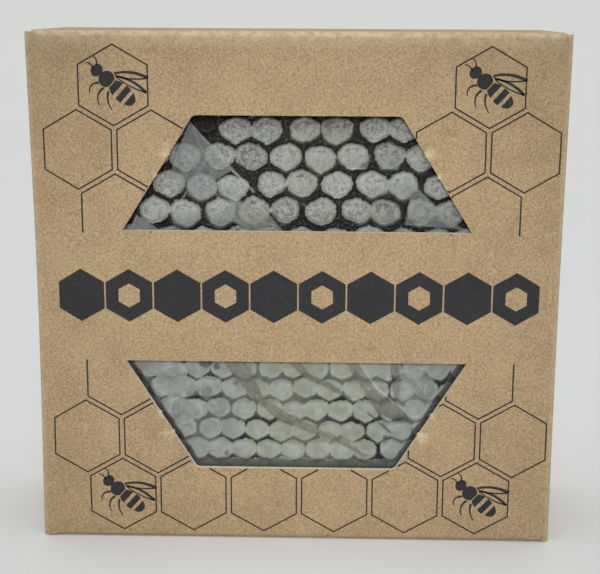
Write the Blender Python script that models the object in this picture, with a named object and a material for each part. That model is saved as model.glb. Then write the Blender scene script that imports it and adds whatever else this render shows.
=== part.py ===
"""Boxed comb honey: a folded kraft carton with a split hexagonal window, and the wrapped slab of comb inside it.

Blender 4.5, in metres, +Z up. The window faces -Y, and the origin is the middle of the carton's underside.
"""

import math

import bmesh
import bpy
from mathutils import Matrix, Vector

# Driving dimensions of the carton
WIDTH = 0.1104
HEIGHT = 0.1088
DEPTH = 0.036
BOARD = 0.0010  # thickness of the board
GAP = 0.0003  # clear space between faces that only touch

# Folds
FOLD_INSIDE = 0.0003  # radius on the inner side of a fold
FOLD_RADIUS = FOLD_INSIDE + BOARD / 2  # radius of the board's middle line
FOLD_OUTSIDE = FOLD_INSIDE + BOARD
FOLD_STEPS = 5

# Hexagonal window, split by the band
WINDOW_CENTRE_Z = 0.0541
WINDOW_HALF_HEIGHT = 0.0379
WINDOW_EDGE_HALF_WIDTH = 0.0213  # half the width of its top and bottom edges
WINDOW_SLOPE = math.tan(math.radians(32))  # width gained by height lost, on a hexagon's side
BAND_HALF_HEIGHT = 0.0140
WINDOW_CORNER_RADII = (0.0004, 0.0004, 0.0014, 0.0014)  # two sharp ones at the band, two round ones

# Middle planes of the walls
SIDE = WIDTH / 2 - BOARD / 2
FRONT = -DEPTH / 2 + BOARD / 2
BACK = -FRONT

# Closing flaps, measured from the nearer end of the carton
EAR_DROP = 0.0003  # how far the corners of the walls stay below the lid
NOTCH = 0.0004  # width of the slit beside a flap
LID_LEVEL = BOARD / 2
LID_HALF_WIDTH = WIDTH / 2 - FOLD_OUTSIDE - NOTCH
LID_BACK = BACK - BOARD - GAP
TUCK_LENGTH = 0.012
TUCK_HALF_WIDTHS = (0.0495, 0.0490, 0.0460)  # at its fold, along its sides and at its end
TUCK_TAPER = 0.0035  # length of its narrowing end
DUST_LEVEL = LID_LEVEL + BOARD + GAP
DUST_LENGTH = 0.017
DUST_FRONT = -DEPTH / 2 + FOLD_OUTSIDE + NOTCH
DUST_BACK = LID_BACK - BOARD - GAP
SLIT_END = DUST_LEVEL + FOLD_RADIUS + NOTCH  # how deep the slits beside the flaps are cut

# Glued seam at the rear left corner
SEAM_SETBACK = 0.0003  # the back wall's raw edge, in from the side
SEAM_FLAP = 0.0140
SEAM_TRIM = 0.0160  # length at each end where only the seam's fold is left

# Wrapped slab of comb
SLAB_WIDTH = 0.1016
SLAB_HEIGHT = 0.1016
SLAB_FRONT = -DEPTH / 2 + BOARD + GAP
SLAB_BACK = DEPTH / 2 - 2 * BOARD - 2 * GAP
SLAB_LEAN = 0.0022  # how far its top is further back than its foot
SLAB_BOTTOM = 2 * BOARD + 2 * GAP
SLAB_ROUNDING = 0.0035
SLAB_CUTS = 15
SLAB_CROWDING = 0.55  # below 1, the grid is finer towards the edges
FILM_WAVE = 0.0004  # height of the wrapping's slack waves on its front


def material(name, colour, roughness):
    """A plain surface of one colour."""
    made = bpy.data.materials.new(name)
    made.use_nodes = True
    shader = made.node_tree.nodes["Principled BSDF"]
    shader.inputs["Base Color"].default_value = (*colour, 1)
    shader.inputs["Roughness"].default_value = roughness
    shader.inputs["Metallic"].default_value = 0
    return made


def new_object(name, shape):
    """An object in the scene from a bmesh, with its faces pointing out."""
    bmesh.ops.recalc_face_normals(shape, faces=shape.faces)
    mesh = bpy.data.meshes.new(name)
    shape.to_mesh(mesh)
    shape.free()
    made = bpy.data.objects.new(name, mesh)
    bpy.context.scene.collection.objects.link(made)
    return made


def cut_away(target, tool):
    """Cuts the shape of a hidden tool out of the target."""
    tool.hide_render = True
    tool.display_type = "WIRE"
    cut = target.modifiers.new(tool.name, "BOOLEAN")
    cut.operation = "DIFFERENCE"
    cut.solver = "EXACT"
    cut.object = tool


def rounded(corners, radii, closed=False):
    """A line through 2D corners, each turned into an arc of its radius."""
    count = len(corners)
    inner = range(count) if closed else range(1, count - 1)
    path = [] if closed else [corners[0]]
    for i in inner:
        corner, radius = corners[i], radii[i]
        back = (corners[i - 1] - corner).normalized()
        ahead = (corners[(i + 1) % count] - corner).normalized()
        turn = math.pi - back.angle(ahead)
        centre = corner + (back + ahead).normalized() * radius / math.cos(turn / 2)
        start = corner + back * radius * math.tan(turn / 2) - centre
        end = corner + ahead * radius * math.tan(turn / 2) - centre
        sense = math.copysign(1, start.x * end.y - start.y * end.x)
        for step in range(FOLD_STEPS + 1):
            path.append(centre + Matrix.Rotation(sense * turn * step / FOLD_STEPS, 2) @ start)
    return path if closed else [*path, corners[-1]]


def folded(corners):
    """The middle line of a board that is folded at each inner corner."""
    return rounded([Vector(c) for c in corners], [FOLD_RADIUS] * len(corners))


def add_quad(shape, *corners):
    """One four-sided face with corners of its own, which are welded later."""
    shape.faces.new([shape.verts.new(corner) for corner in corners])


def add_flap(shape, rows, upper):
    """A flap as a strip of quads. Each row is its two ends, as if at the carton's foot, and is flipped for the top."""
    for row, following in zip(rows, rows[1:]):
        corners = [Vector(point) for point in (*row, *reversed(following))]
        if upper:
            for corner in corners:
                corner.z = HEIGHT - corner.z
        add_quad(shape, *corners)


def wall_line():
    """The middle line of the four walls, from the back wall's raw edge round to the end of the seam's flap."""
    flap_plane = BACK - BOARD - GAP
    corners = [(SEAM_SETBACK - WIDTH / 2, BACK), (SIDE, BACK), (SIDE, FRONT), (-SIDE, FRONT)]
    line = folded([*corners, (-SIDE, flap_plane), (SEAM_FLAP - WIDTH / 2, flap_plane)])
    lid = (LID_HALF_WIDTH, LID_HALF_WIDTH + NOTCH)
    dust = (DUST_FRONT - NOTCH, DUST_FRONT, DUST_BACK, DUST_BACK + NOTCH)
    stops = [Vector((side * x, FRONT)) for x in lid for side in (-1, 1)]
    stops += [Vector((side * SIDE, y)) for y in dust for side in (-1, 1)]
    full = [line[0]]
    for start, end in zip(line, line[1:]):
        run = end - start
        between = [s for s in stops if 0 < (s - start).dot(run) < run.length_squared]
        on_run = [s for s in between if abs((s - start).cross(run)) < BOARD * run.length / 2]
        full += sorted(on_run, key=lambda stop: (stop - start).dot(run))
        full.append(end)
    return full


def wall_inset(middle):
    """How far a wall keeps from each end of the carton, at one place along the line of the walls."""
    x, y = middle
    if y < FRONT + BOARD / 2 and abs(x) < LID_HALF_WIDTH:
        return LID_LEVEL + FOLD_RADIUS
    if y < FRONT + BOARD / 2 and abs(x) < LID_HALF_WIDTH + NOTCH:
        return SLIT_END
    if abs(x) > SIDE - BOARD / 2 and DUST_FRONT < y < DUST_BACK:
        return DUST_LEVEL + FOLD_RADIUS
    if abs(x) > SIDE - BOARD / 2 and DUST_FRONT - NOTCH < y < DUST_BACK + NOTCH:
        return SLIT_END
    in_flap = BACK - 2 * BOARD < y < BACK - BOARD / 2 and x > FOLD_RADIUS - SIDE and x < 0
    return SEAM_TRIM if in_flap else 0


def add_walls(shape):
    """The four walls and the seam's flap, without the room that the closing flaps need."""
    insets = (0, LID_LEVEL + FOLD_RADIUS, DUST_LEVEL + FOLD_RADIUS, SLIT_END, SEAM_TRIM)
    levels = [*insets, *(HEIGHT - max(inset, EAR_DROP) for inset in reversed(insets))]
    line = wall_line()
    for start, end in zip(line, line[1:]):
        inset = wall_inset((start + end) / 2)
        for low, high in zip(levels, levels[1:]):
            if low >= inset and high <= HEIGHT - max(inset, EAR_DROP):
                add_quad(shape, (*start, low), (*end, low), (*end, high), (*start, high))


def add_lid(shape, upper):
    """The lid, or the bottom, which hangs on the front wall and tucks in behind the back wall."""
    root = LID_LEVEL + FOLD_RADIUS
    path = folded([(FRONT, root), (FRONT, LID_LEVEL), (LID_BACK, LID_LEVEL), (LID_BACK, TUCK_LENGTH)])[1:]
    path.insert(-1, Vector((LID_BACK, TUCK_LENGTH - TUCK_TAPER)))
    at_fold, along, at_end = TUCK_HALF_WIDTHS
    widths = [LID_HALF_WIDTH] * (FOLD_STEPS + 2) + [at_fold] * FOLD_STEPS + [along, at_end]
    add_flap(shape, [((-w, y, z), (w, y, z)) for w, (y, z) in zip(widths, path)], upper)


def add_dust_flap(shape, side, upper):
    """A flap that folds in from a side wall, just inside the lid or the bottom."""
    root = DUST_LEVEL + FOLD_RADIUS
    path = folded([(SIDE, root), (SIDE, DUST_LEVEL), (SIDE - DUST_LENGTH, DUST_LEVEL)])[1:]
    add_flap(shape, [((side * x, DUST_FRONT, z), (side * x, DUST_BACK, z)) for x, z in path], upper)


def window(name, side):
    """The prism that cuts one half of the hexagonal window: side is 1 above the band and -1 below it."""
    at_edge = WINDOW_EDGE_HALF_WIDTH
    at_band = at_edge + (WINDOW_HALF_HEIGHT - BAND_HALF_HEIGHT) * WINDOW_SLOPE
    band = WINDOW_CENTRE_Z + side * BAND_HALF_HEIGHT
    edge = WINDOW_CENTRE_Z + side * WINDOW_HALF_HEIGHT
    corners = [Vector(c) for c in ((-at_band, band), (at_band, band), (at_edge, edge), (-at_edge, edge))]
    outline = rounded(corners, WINDOW_CORNER_RADII, closed=True)
    shape = bmesh.new()
    face = shape.faces.new([shape.verts.new((x, -DEPTH / 2 - BOARD, z)) for x, z in outline])
    swept = bmesh.ops.extrude_face_region(shape, geom=[face])["geom"]
    moved = [v for v in swept if isinstance(v, bmesh.types.BMVert)]
    bmesh.ops.translate(shape, verts=moved, vec=(0, 3 * BOARD, 0))
    return new_object(name, shape)


def carton():
    """The whole carton as one folded piece of board."""
    shape = bmesh.new()
    add_walls(shape)
    for upper in (False, True):
        add_lid(shape, upper)
        for side in (-1, 1):
            add_dust_flap(shape, side, upper)
    bmesh.ops.remove_doubles(shape, verts=shape.verts, dist=GAP / 100)
    box = new_object("carton", shape)
    wall = box.modifiers.new("board", "SOLIDIFY")
    wall.thickness = BOARD
    wall.offset = 0
    wall.use_even_offset = True
    cut_away(box, window("upper_window", 1))
    cut_away(box, window("lower_window", -1))
    box.data.materials.append(material("kraft_board", (0.42, 0.30, 0.17), 0.85))
    return box


def film_wave(x, z):
    """Slack waves of the wrapping, from 0 to 1, lower towards the slab's rim."""
    across, up = 2 * x / SLAB_WIDTH, 2 * z / SLAB_HEIGHT
    calm = (1 - across**2) * (1 - up**2)
    slanted = math.sin(2.3 * math.pi * (across + 0.6 * up) + 0.7)
    crossing = math.sin(1.7 * math.pi * (up - 0.5 * across) - 0.4)
    return calm * (0.5 + 0.3 * slanted + 0.2 * crossing)


def wrapped_comb():
    """The slab of comb in its film: a soft-edged block whose front leans back a little, with slack waves."""
    shape = bmesh.new()
    bmesh.ops.create_cube(shape, size=2)
    bmesh.ops.subdivide_edges(shape, edges=shape.edges[:], cuts=SLAB_CUTS, use_grid_fill=True)
    half = Vector((SLAB_WIDTH / 2, (SLAB_BACK - SLAB_FRONT) / 2, SLAB_HEIGHT / 2))
    core = half - Vector((SLAB_ROUNDING,) * 3)
    for vertex in shape.verts:
        crowded = Vector(math.copysign(abs(c) ** SLAB_CROWDING, c) for c in vertex.co)
        point = Vector(c * h for c, h in zip(crowded, half))
        inside = Vector(max(-c, min(c, p)) for p, c in zip(point, core))
        vertex.co = inside + (point - inside).normalized() * SLAB_ROUNDING
        frontness = max(0, -vertex.co.y / half.y)
        rise = vertex.co.z / SLAB_HEIGHT + 0.5
        push = SLAB_LEAN * rise + FILM_WAVE * (1 - film_wave(vertex.co.x, vertex.co.z))
        vertex.co.y += frontness * push
    centre = Vector((0, (SLAB_FRONT + SLAB_BACK) / 2, SLAB_BOTTOM + SLAB_HEIGHT / 2))
    bmesh.ops.translate(shape, verts=shape.verts, vec=centre)
    slab = new_object("wrapped_comb", shape)
    slab.data.shade_smooth()
    slab.data.materials.append(material("comb_in_film", (0.30, 0.31, 0.27), 0.25))
    return slab


def main():
    """Clears the scene and builds both pieces."""
    for old in list(bpy.data.objects):
        bpy.data.objects.remove(old)
    carton()
    wrapped_comb()


main()
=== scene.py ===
"""Looks for boxed comb honey: a folded kraft carton with a split hexagonal window, and wrapped comb inside it.

Lengths are in metres. The window faces -Y, +Z is up, and the origin is the middle of the carton's underside.
"""

import logging
import math
from dataclasses import dataclass
from enum import Enum

import bmesh
import bpy
import numpy as np
from mathutils import Euler, Matrix, Vector, geometry


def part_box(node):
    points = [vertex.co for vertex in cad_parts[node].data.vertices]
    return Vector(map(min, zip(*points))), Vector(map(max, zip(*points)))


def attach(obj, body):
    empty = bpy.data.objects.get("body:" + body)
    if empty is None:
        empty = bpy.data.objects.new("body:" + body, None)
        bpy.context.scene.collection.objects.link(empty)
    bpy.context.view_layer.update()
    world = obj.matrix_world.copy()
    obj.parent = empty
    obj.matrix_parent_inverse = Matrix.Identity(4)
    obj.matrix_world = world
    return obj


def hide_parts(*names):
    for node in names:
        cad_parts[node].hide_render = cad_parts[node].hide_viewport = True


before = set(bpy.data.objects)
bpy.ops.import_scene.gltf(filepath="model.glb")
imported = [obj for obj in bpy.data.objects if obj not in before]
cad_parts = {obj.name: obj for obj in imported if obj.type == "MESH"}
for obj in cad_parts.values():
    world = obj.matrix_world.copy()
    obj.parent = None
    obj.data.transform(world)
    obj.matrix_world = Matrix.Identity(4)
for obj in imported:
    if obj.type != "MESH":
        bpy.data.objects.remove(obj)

LOG = logging.getLogger("boxed_comb")
MM = 0.001
SEED = 7


class Region(Enum):
    """The two halves of the window."""

    UPPER = 1
    LOWER = -1


class TitleShape(Enum):
    """What one place of the printed title holds."""

    SOLID = "solid"
    RING = "ring"


# ---------------------------------------------------------------------------------------------- node trees


class Graph:
    """Adds nodes to one tree and joins them.

    Args:
        tree: The shader or geometry node tree to write in.
    """

    def __init__(self, tree: bpy.types.NodeTree) -> None:
        self.tree = tree

    def add(self, kind: str, inputs: dict | None = None, **settings: object) -> bpy.types.Node:
        """Adds one node.

        Args:
            kind: The node's type name.
            inputs: Values or sockets for its inputs, by name or by number.
            settings: Properties of the node.

        Returns:
            The new node.
        """
        node = self.tree.nodes.new(kind)
        for name, value in settings.items():
            setattr(node, name, value)
        for key, value in (inputs or {}).items():
            if isinstance(value, bpy.types.NodeSocket):
                self.tree.links.new(value, node.inputs[key])
            else:
                node.inputs[key].default_value = value
        return node

    def math(self, operation: str, *values: object, clamp: bool = False) -> bpy.types.NodeSocket:
        """Joins numbers with one Math node and returns its result."""
        inputs = dict(enumerate(values))
        return self.add("ShaderNodeMath", inputs, operation=operation, use_clamp=clamp).outputs[0]

    def vector_math(self, operation: str, first: object, second: object) -> bpy.types.NodeSocket:
        """Joins two vectors with one Vector Math node and returns its result."""
        return self.add("ShaderNodeVectorMath", {0: first, 1: second}, operation=operation).outputs[0]

    def blend(self, factor: object, first: object, second: object) -> bpy.types.NodeSocket:
        """Mixes two colours and returns the result."""
        return self.add("ShaderNodeMix", {0: factor, 6: first, 7: second}, data_type="RGBA").outputs[2]

    def remap(self, value: object, low: float, high: float, to_low: float = 0, to_high: float = 1) -> object:
        """Turns one range of numbers into another, with soft ends, and returns the socket."""
        inputs = {0: value, 1: low, 2: high, 3: to_low, 4: to_high}
        return self.add("ShaderNodeMapRange", inputs, interpolation_type="SMOOTHSTEP").outputs[0]

    def noise(self, vector: object, scale: float, detail: float = 2, roughness: float = 0.5) -> object:
        """Adds fractal noise and returns its value."""
        inputs = {"Vector": vector, "Scale": scale, "Detail": detail, "Roughness": roughness}
        return self.add("ShaderNodeTexNoise", inputs).outputs[0]


def new_group(kind: str, name: str, inputs: dict, outputs: dict) -> tuple[Graph, object, object]:
    """Makes a node group with named sockets.

    Args:
        kind: "ShaderNodeTree" or "GeometryNodeTree".
        name: The group's name.
        inputs: Socket type and default value by name.
        outputs: Socket type by name.

    Returns:
        The graph, the group's input node and its output node.
    """
    tree = bpy.data.node_groups.new(name, kind)
    for label, (socket_type, default) in inputs.items():
        socket = tree.interface.new_socket(label, in_out="INPUT", socket_type=socket_type)
        if default is not None:
            socket.default_value = default
    for label, socket_type in outputs.items():
        tree.interface.new_socket(label, in_out="OUTPUT", socket_type=socket_type)
    graph = Graph(tree)
    return graph, graph.add("NodeGroupInput"), graph.add("NodeGroupOutput")


def speckle_group() -> bpy.types.NodeTree:
    """Small scattered flecks, longer than wide, as a mask.

    Returns:
        A group with Vector, Scale, Share and Size inputs and a Mask output.
    """
    inputs = {
        "Vector": ("NodeSocketVector", None),
        "Scale": ("NodeSocketFloat", 400.0),
        "Share": ("NodeSocketFloat", 0.1),
        "Size": ("NodeSocketFloat", 0.3),
    }
    graph, given, result = new_group("ShaderNodeTree", "fleck_mask", inputs, {"Mask": "NodeSocketFloat"})
    bent = graph.noise(given.outputs["Vector"], 900, 1)
    shifted = graph.vector_math("MULTIPLY", bent, (0.0006,) * 3)
    place = graph.vector_math("ADD", given.outputs["Vector"], shifted)
    cells = graph.add("ShaderNodeTexVoronoi", {"Vector": place, "Scale": given.outputs["Scale"]})
    chosen = graph.add("ShaderNodeSeparateColor", {0: cells.outputs["Color"]}).outputs[0]
    kept = graph.math("LESS_THAN", chosen, given.outputs["Share"])
    inner = graph.math("MULTIPLY", given.outputs["Size"], 0.4)
    near = {0: cells.outputs["Distance"], 1: inner, 2: given.outputs["Size"], 3: 1.0, 4: 0.0}
    spot = graph.add("ShaderNodeMapRange", near, interpolation_type="SMOOTHSTEP").outputs[0]
    graph.tree.links.new(graph.math("MULTIPLY", kept, spot), result.inputs["Mask"])
    return graph.tree


def fibre_group() -> bpy.types.NodeTree:
    """The matted fibres of paper: a tone and a height that vary from half a millimetre up.

    Returns:
        A group with a Vector input and Tone and Height outputs, both from 0 to 1.
    """
    inputs = {"Vector": ("NodeSocketVector", None)}
    outputs = {"Tone": "NodeSocketFloat", "Height": "NodeSocketFloat"}
    graph, given, result = new_group("ShaderNodeTree", "paper_fibres", inputs, outputs)
    vector = given.outputs["Vector"]
    warp = graph.add("ShaderNodeTexNoise", {"Vector": vector, "Scale": 500.0, "Detail": 1.0}).outputs["Color"]
    bent = graph.vector_math("ADD", vector, graph.vector_math("MULTIPLY", warp, (0.0009,) * 3))
    matted = graph.noise(bent, 2500, 3, 0.6)
    clouds = graph.noise(vector, 110, 3, 0.6)
    broad = graph.noise(vector, 22, 2, 0.5)
    fine = graph.math("MULTIPLY", matted, 0.78)
    middle = graph.math("MULTIPLY_ADD", clouds, 0.17, fine)
    graph.tree.links.new(graph.math("MULTIPLY_ADD", broad, 0.05, middle), result.inputs["Tone"])
    graph.tree.links.new(matted, result.inputs["Height"])
    return graph.tree


def use_group(graph: Graph, tree: bpy.types.NodeTree, inputs: dict) -> bpy.types.Node:
    """Places a shared group in a material and gives it its inputs, which exist only once its tree is set."""
    node = graph.add("ShaderNodeGroup", node_tree=tree)
    for name, value in inputs.items():
        if isinstance(value, bpy.types.NodeSocket):
            graph.tree.links.new(value, node.inputs[name])
        else:
            node.inputs[name].default_value = value
    return node


# ------------------------------------------------------------------------------------------------ finishes


@dataclass(frozen=True)
class Finish:
    """A finish's shared groups and its base colours.

    Args:
        flecks: The fleck mask group.
        fibres: The paper fibre group.
    """

    flecks: bpy.types.NodeTree
    fibres: bpy.types.NodeTree

    def start(self, name: str, roughness: float) -> tuple[bpy.types.Material, Graph, bpy.types.Node, object]:
        """Makes a material with a Principled BSDF.

        Args:
            name: The material's name.
            roughness: The surface's roughness.

        Returns:
            The material, its graph, its shader and the Object coordinates.
        """
        made = bpy.data.materials.new(name)
        made.use_nodes = True
        graph = Graph(made.node_tree)
        shader = made.node_tree.nodes["Principled BSDF"]
        shader.inputs["Roughness"].default_value = roughness
        place = graph.add("ShaderNodeTexCoord").outputs["Object"]
        return made, graph, shader, place


@dataclass(frozen=True)
class Kraft(Finish):
    """Brown kraft board: matted fibres, dark and pale flecks, a painted highlight along the folds, pale worn
    nicks and a raw edge.
    """

    light: tuple = (0.505, 0.360, 0.205, 1)
    dark: tuple = (0.315, 0.216, 0.119, 1)
    fibre: tuple = (0.27, 0.175, 0.09, 1)
    dark_fleck: tuple = (0.17, 0.105, 0.06, 1)
    pale_fleck: tuple = (0.66, 0.52, 0.34, 1)
    # Pale colour of the painted highlight along the folds, and of the worn fibres at the window's nicks.
    highlit_and_worn: tuple = (0.66, 0.52, 0.34, 1)
    raw_dark: tuple = (0.62, 0.52, 0.38, 1)
    raw_light: tuple = (0.92, 0.84, 0.70, 1)

    def face(self) -> bpy.types.Material:
        """The liner's outer and inner face.

        Returns:
            The material, which reads the "rub" attribute as how pale a place is: a painted highlight along the
            folds, and wear at the window's nicks.
        """
        made, graph, shader, place = self.start("kraft_face", 0.86)
        fibres = use_group(graph, self.fibres, {"Vector": place})
        tone = graph.remap(fibres.outputs["Tone"], 0.38, 0.62)
        colour = graph.blend(tone, self.dark, self.light)
        lying = graph.vector_math("MULTIPLY", place, (0.35, 1, 1))
        standing = graph.vector_math("MULTIPLY", place, (1, 1, 0.4))
        many = {"Vector": standing, "Scale": 700.0, "Share": 0.10, "Size": 0.13}
        pale = {"Vector": lying, "Scale": 330.0, "Share": 0.05, "Size": 0.038}
        dark = {"Vector": standing, "Scale": 300.0, "Share": 0.07, "Size": 0.045}
        for values, tint in ((many, self.fibre), (pale, self.pale_fleck), (dark, self.dark_fleck)):
            colour = graph.blend(use_group(graph, self.flecks, values).outputs[0], colour, tint)
        # Painted highlight along the folds and the lid's front fold, with pale wear at the nicks, laid on in
        # patches.
        fold_highlight_and_wear = graph.add("ShaderNodeAttribute", attribute_name="fold_highlight_and_wear").outputs["Fac"]
        patchy = graph.math("MULTIPLY", fold_highlight_and_wear, graph.remap(graph.noise(place, 700, 3), 0.35, 0.65, 0.4, 1.0))
        colour = graph.blend(patchy, colour, self.highlit_and_worn)
        graph.tree.links.new(colour, shader.inputs["Base Color"])
        height = {"Height": fibres.outputs["Height"], "Strength": 0.55, "Distance": 0.00009}
        graph.tree.links.new(graph.add("ShaderNodeBump", height).outputs[0], shader.inputs["Normal"])
        return made

    def raw_edge(self) -> bpy.types.Material:
        """The cut edge of the board, paler and rougher than its face."""
        made, graph, shader, place = self.start("kraft_raw_edge", 0.95)
        torn = graph.noise(place, 2200, 3, 0.7)
        colour = graph.blend(graph.remap(torn, 0.3, 0.7), self.raw_dark, self.raw_light)
        graph.tree.links.new(colour, shader.inputs["Base Color"])
        height = {"Height": torn, "Strength": 0.8, "Distance": 0.00012}
        graph.tree.links.new(graph.add("ShaderNodeBump", height).outputs[0], shader.inputs["Normal"])
        return made


@dataclass(frozen=True)
class Ink(Finish):
    """Black printing ink on kraft board, thinner over the tops of the fibres."""

    full: tuple = (0.015, 0.015, 0.018, 1)
    thin: tuple = (0.028, 0.027, 0.028, 1)
    bare: tuple = (0.15, 0.12, 0.08, 1)

    def printed(self) -> bpy.types.Material:
        """The ink."""
        made, graph, shader, place = self.start("printing_ink", 0.8)
        fibres = use_group(graph, self.fibres, {"Vector": place})
        colour = graph.blend(graph.remap(fibres.outputs["Tone"], 0.46, 0.62), self.full, self.thin)
        pinholes = {"Vector": place, "Scale": 700.0, "Share": 0.05, "Size": 0.07}
        colour = graph.blend(use_group(graph, self.flecks, pinholes).outputs[0], colour, self.bare)
        graph.tree.links.new(colour, shader.inputs["Base Color"])
        height = {"Height": fibres.outputs["Height"], "Strength": 0.35, "Distance": 0.00006}
        graph.tree.links.new(graph.add("ShaderNodeBump", height).outputs[0], shader.inputs["Normal"])
        return made


@dataclass(frozen=True)
class Wax(Finish):
    """Beeswax: fuzzy grey cappings with greenish rims, and the dark honey that shows between them."""

    cap_dark: tuple = (0.110, 0.110, 0.107, 1)
    cap_light: tuple = (0.43, 0.44, 0.415, 1)
    rim: tuple = (0.42, 0.43, 0.32, 1)
    gap: tuple = (0.016, 0.011, 0.011, 1)
    wall: tuple = (0.030, 0.024, 0.023, 1)
    froth: tuple = (0.40, 0.38, 0.37, 1)
    crumb_dark: tuple = (0.36, 0.34, 0.33, 1)
    crumb_light: tuple = (0.68, 0.68, 0.66, 1)

    def comb(self) -> bpy.types.Material:
        """The comb's face, which reads cap, rim, tone and wall masks from the "comb" attribute.

        Returns:
            The material.
        """
        made, graph, shader, place = self.start("comb_wax", 0.55)
        masks = graph.add("ShaderNodeAttribute", attribute_name="comb")
        parts = graph.add("ShaderNodeSeparateColor", {0: masks.outputs["Color"]}).outputs
        cap, rim, tone, wall = parts[0], parts[1], parts[2], masks.outputs["Alpha"]
        fuzz = graph.noise(place, 2600, 4, 0.75)
        cloud = graph.noise(place, 850, 4, 0.65)
        crinkle = graph.math("ABSOLUTE", graph.math("SUBTRACT", graph.noise(place, 1000, 2, 0.6), 0.5))
        crinkle = graph.remap(crinkle, 0.0, 0.10, 1.0, 0.0)
        level = graph.math("MULTIPLY_ADD", fuzz, 0.24, graph.math("MULTIPLY", cloud, 0.60))
        level = graph.math("MULTIPLY_ADD", crinkle, 0.16, level)
        # The tone mask also carries a painted shadow under the window's top edge.
        level = graph.math("MULTIPLY_ADD", tone, 0.40, graph.math("ADD", level, -0.16))
        crown = graph.blend(graph.remap(level, 0.24, 0.70), self.cap_dark, self.cap_light)
        floor = graph.blend(wall, self.gap, self.wall)
        bits = {"Vector": place, "Scale": 1900.0, "Share": 0.16, "Size": 0.30}
        bubbles = use_group(graph, self.flecks, bits).outputs[0]
        bubbles = graph.math("MULTIPLY", bubbles, graph.remap(cloud, 0.45, 0.62))
        floor = graph.blend(graph.math("MULTIPLY", bubbles, 0.6), floor, self.froth)
        torn = graph.math("MULTIPLY_ADD", fuzz, 0.7, graph.math("MULTIPLY_ADD", cloud, 1.1, -0.9))
        colour = graph.blend(graph.remap(graph.math("ADD", cap, torn), 0.36, 0.64), floor, crown)
        edged = graph.math("MULTIPLY", rim, cap)
        edged = graph.math("MULTIPLY", edged, graph.remap(fuzz, 0.36, 0.6, 0.35, 0.95))
        colour = graph.blend(edged, colour, self.rim)
        graph.tree.links.new(colour, shader.inputs["Base Color"])
        graph.tree.links.new(graph.remap(cap, 0, 1, 0.28, 0.78), shader.inputs["Roughness"])
        graph.tree.links.new(graph.remap(cap, 0, 1, 0.12, 0.5), shader.inputs["Specular IOR Level"])
        height = {"Height": level, "Strength": 0.7, "Distance": 0.00025}
        graph.tree.links.new(graph.add("ShaderNodeBump", height).outputs[0], shader.inputs["Normal"])
        return made

    def crumb(self) -> bpy.types.Material:
        """Loose white specks of wax and sugar."""
        made, graph, shader, place = self.start("wax_crumb", 0.5)
        shade = graph.noise(place, 3000, 2)
        colour = graph.blend(shade, self.crumb_dark, self.crumb_light)
        graph.tree.links.new(colour, shader.inputs["Base Color"])
        return made


@dataclass(frozen=True)
class ClearFilm(Finish):
    """Thin clear film: nearly unseen where it hangs free, milky where it clings, brownish where it folds, with
    painted highlights and painted shade.
    """

    milky: tuple = (0.295, 0.322, 0.305, 1)
    bright: tuple = (0.80, 0.86, 0.83, 1)
    greenish: tuple = (0.355, 0.385, 0.28, 1)
    folded: tuple = (0.175, 0.165, 0.115, 1)
    # Colour of the painted shade on the film.
    shaded: tuple = (0.05, 0.045, 0.038, 1)
    # Colour of the painted highlights on the film.
    shine: tuple = (0.95, 1.0, 0.98, 1)

    def sheet(self) -> bpy.types.Material:
        """The film, which reads haze, fold, glint and shade masks from the "film" attribute; glint is painted
        highlight and shade is painted shade.

        Returns:
            The material.
        """
        made, graph, shader, place = self.start("clear_film", 0.22)
        masks = graph.add("ShaderNodeAttribute", attribute_name="film")
        haze, fold, glint = graph.add("ShaderNodeSeparateColor", {0: masks.outputs["Color"]}).outputs[:3]
        shade = masks.outputs["Alpha"]
        cloud = graph.noise(place, 420, 3, 0.6)
        grain = graph.noise(place, 2400, 2, 0.6)
        across = graph.add("ShaderNodeSeparateXYZ", {0: place}).outputs[0]
        drift = graph.math("MULTIPLY_ADD", graph.noise(place, 80, 1), 0.012, across)
        tint = graph.remap(graph.math("ABSOLUTE", graph.math("SUBTRACT", drift, 0.009)), 0.021, 0.009)
        colour = graph.blend(tint, self.milky, self.greenish)
        colour = graph.blend(graph.remap(cloud, 0.3, 0.7, 0.0, 0.30), colour, self.bright)
        colour = graph.blend(fold, colour, self.folded)
        # Painted shade darkens the film, then painted highlights lighten it.
        colour = graph.blend(shade, colour, self.shaded)
        colour = graph.blend(glint, colour, self.shine)
        graph.tree.links.new(colour, shader.inputs["Base Color"])
        uneven = graph.math("MULTIPLY_ADD", grain, 0.22, 0.89)
        alpha = graph.math("MULTIPLY", graph.math("MAXIMUM", haze, glint), uneven, clamp=True)
        graph.tree.links.new(alpha, shader.inputs["Alpha"])
        return made


@dataclass(frozen=True)
class StudioPaper(Finish):
    """The plain pale floor."""

    dark: tuple = (0.765, 0.77, 0.785, 1)
    light: tuple = (0.785, 0.79, 0.805, 1)

    def paper(self) -> bpy.types.Material:
        """A matt, nearly white paper."""
        made, graph, shader, place = self.start("studio_paper", 0.9)
        cloud = graph.noise(place, 6, 2)
        colour = graph.blend(cloud, self.dark, self.light)
        graph.tree.links.new(colour, shader.inputs["Base Color"])
        return made


# -------------------------------------------------------------------------------------------- mesh helpers


def mesh_object(name: str, mesh: bpy.types.Mesh, materials: list[bpy.types.Material]) -> bpy.types.Object:
    """Puts a mesh in the scene as an object at the origin, with these materials."""
    made = bpy.data.objects.new(name, mesh)
    bpy.context.scene.collection.objects.link(made)
    if list(mesh.materials) != materials:
        mesh.materials.clear()
        for material in materials:
            mesh.materials.append(material)
    return made


def settled_mesh(piece: bpy.types.Object) -> bpy.types.Mesh:
    """The mesh that a piece's modifiers make, as plain data of its own."""
    bpy.context.view_layer.update()
    evaluated = piece.evaluated_get(bpy.context.evaluated_depsgraph_get())
    return bpy.data.meshes.new_from_object(evaluated)


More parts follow.
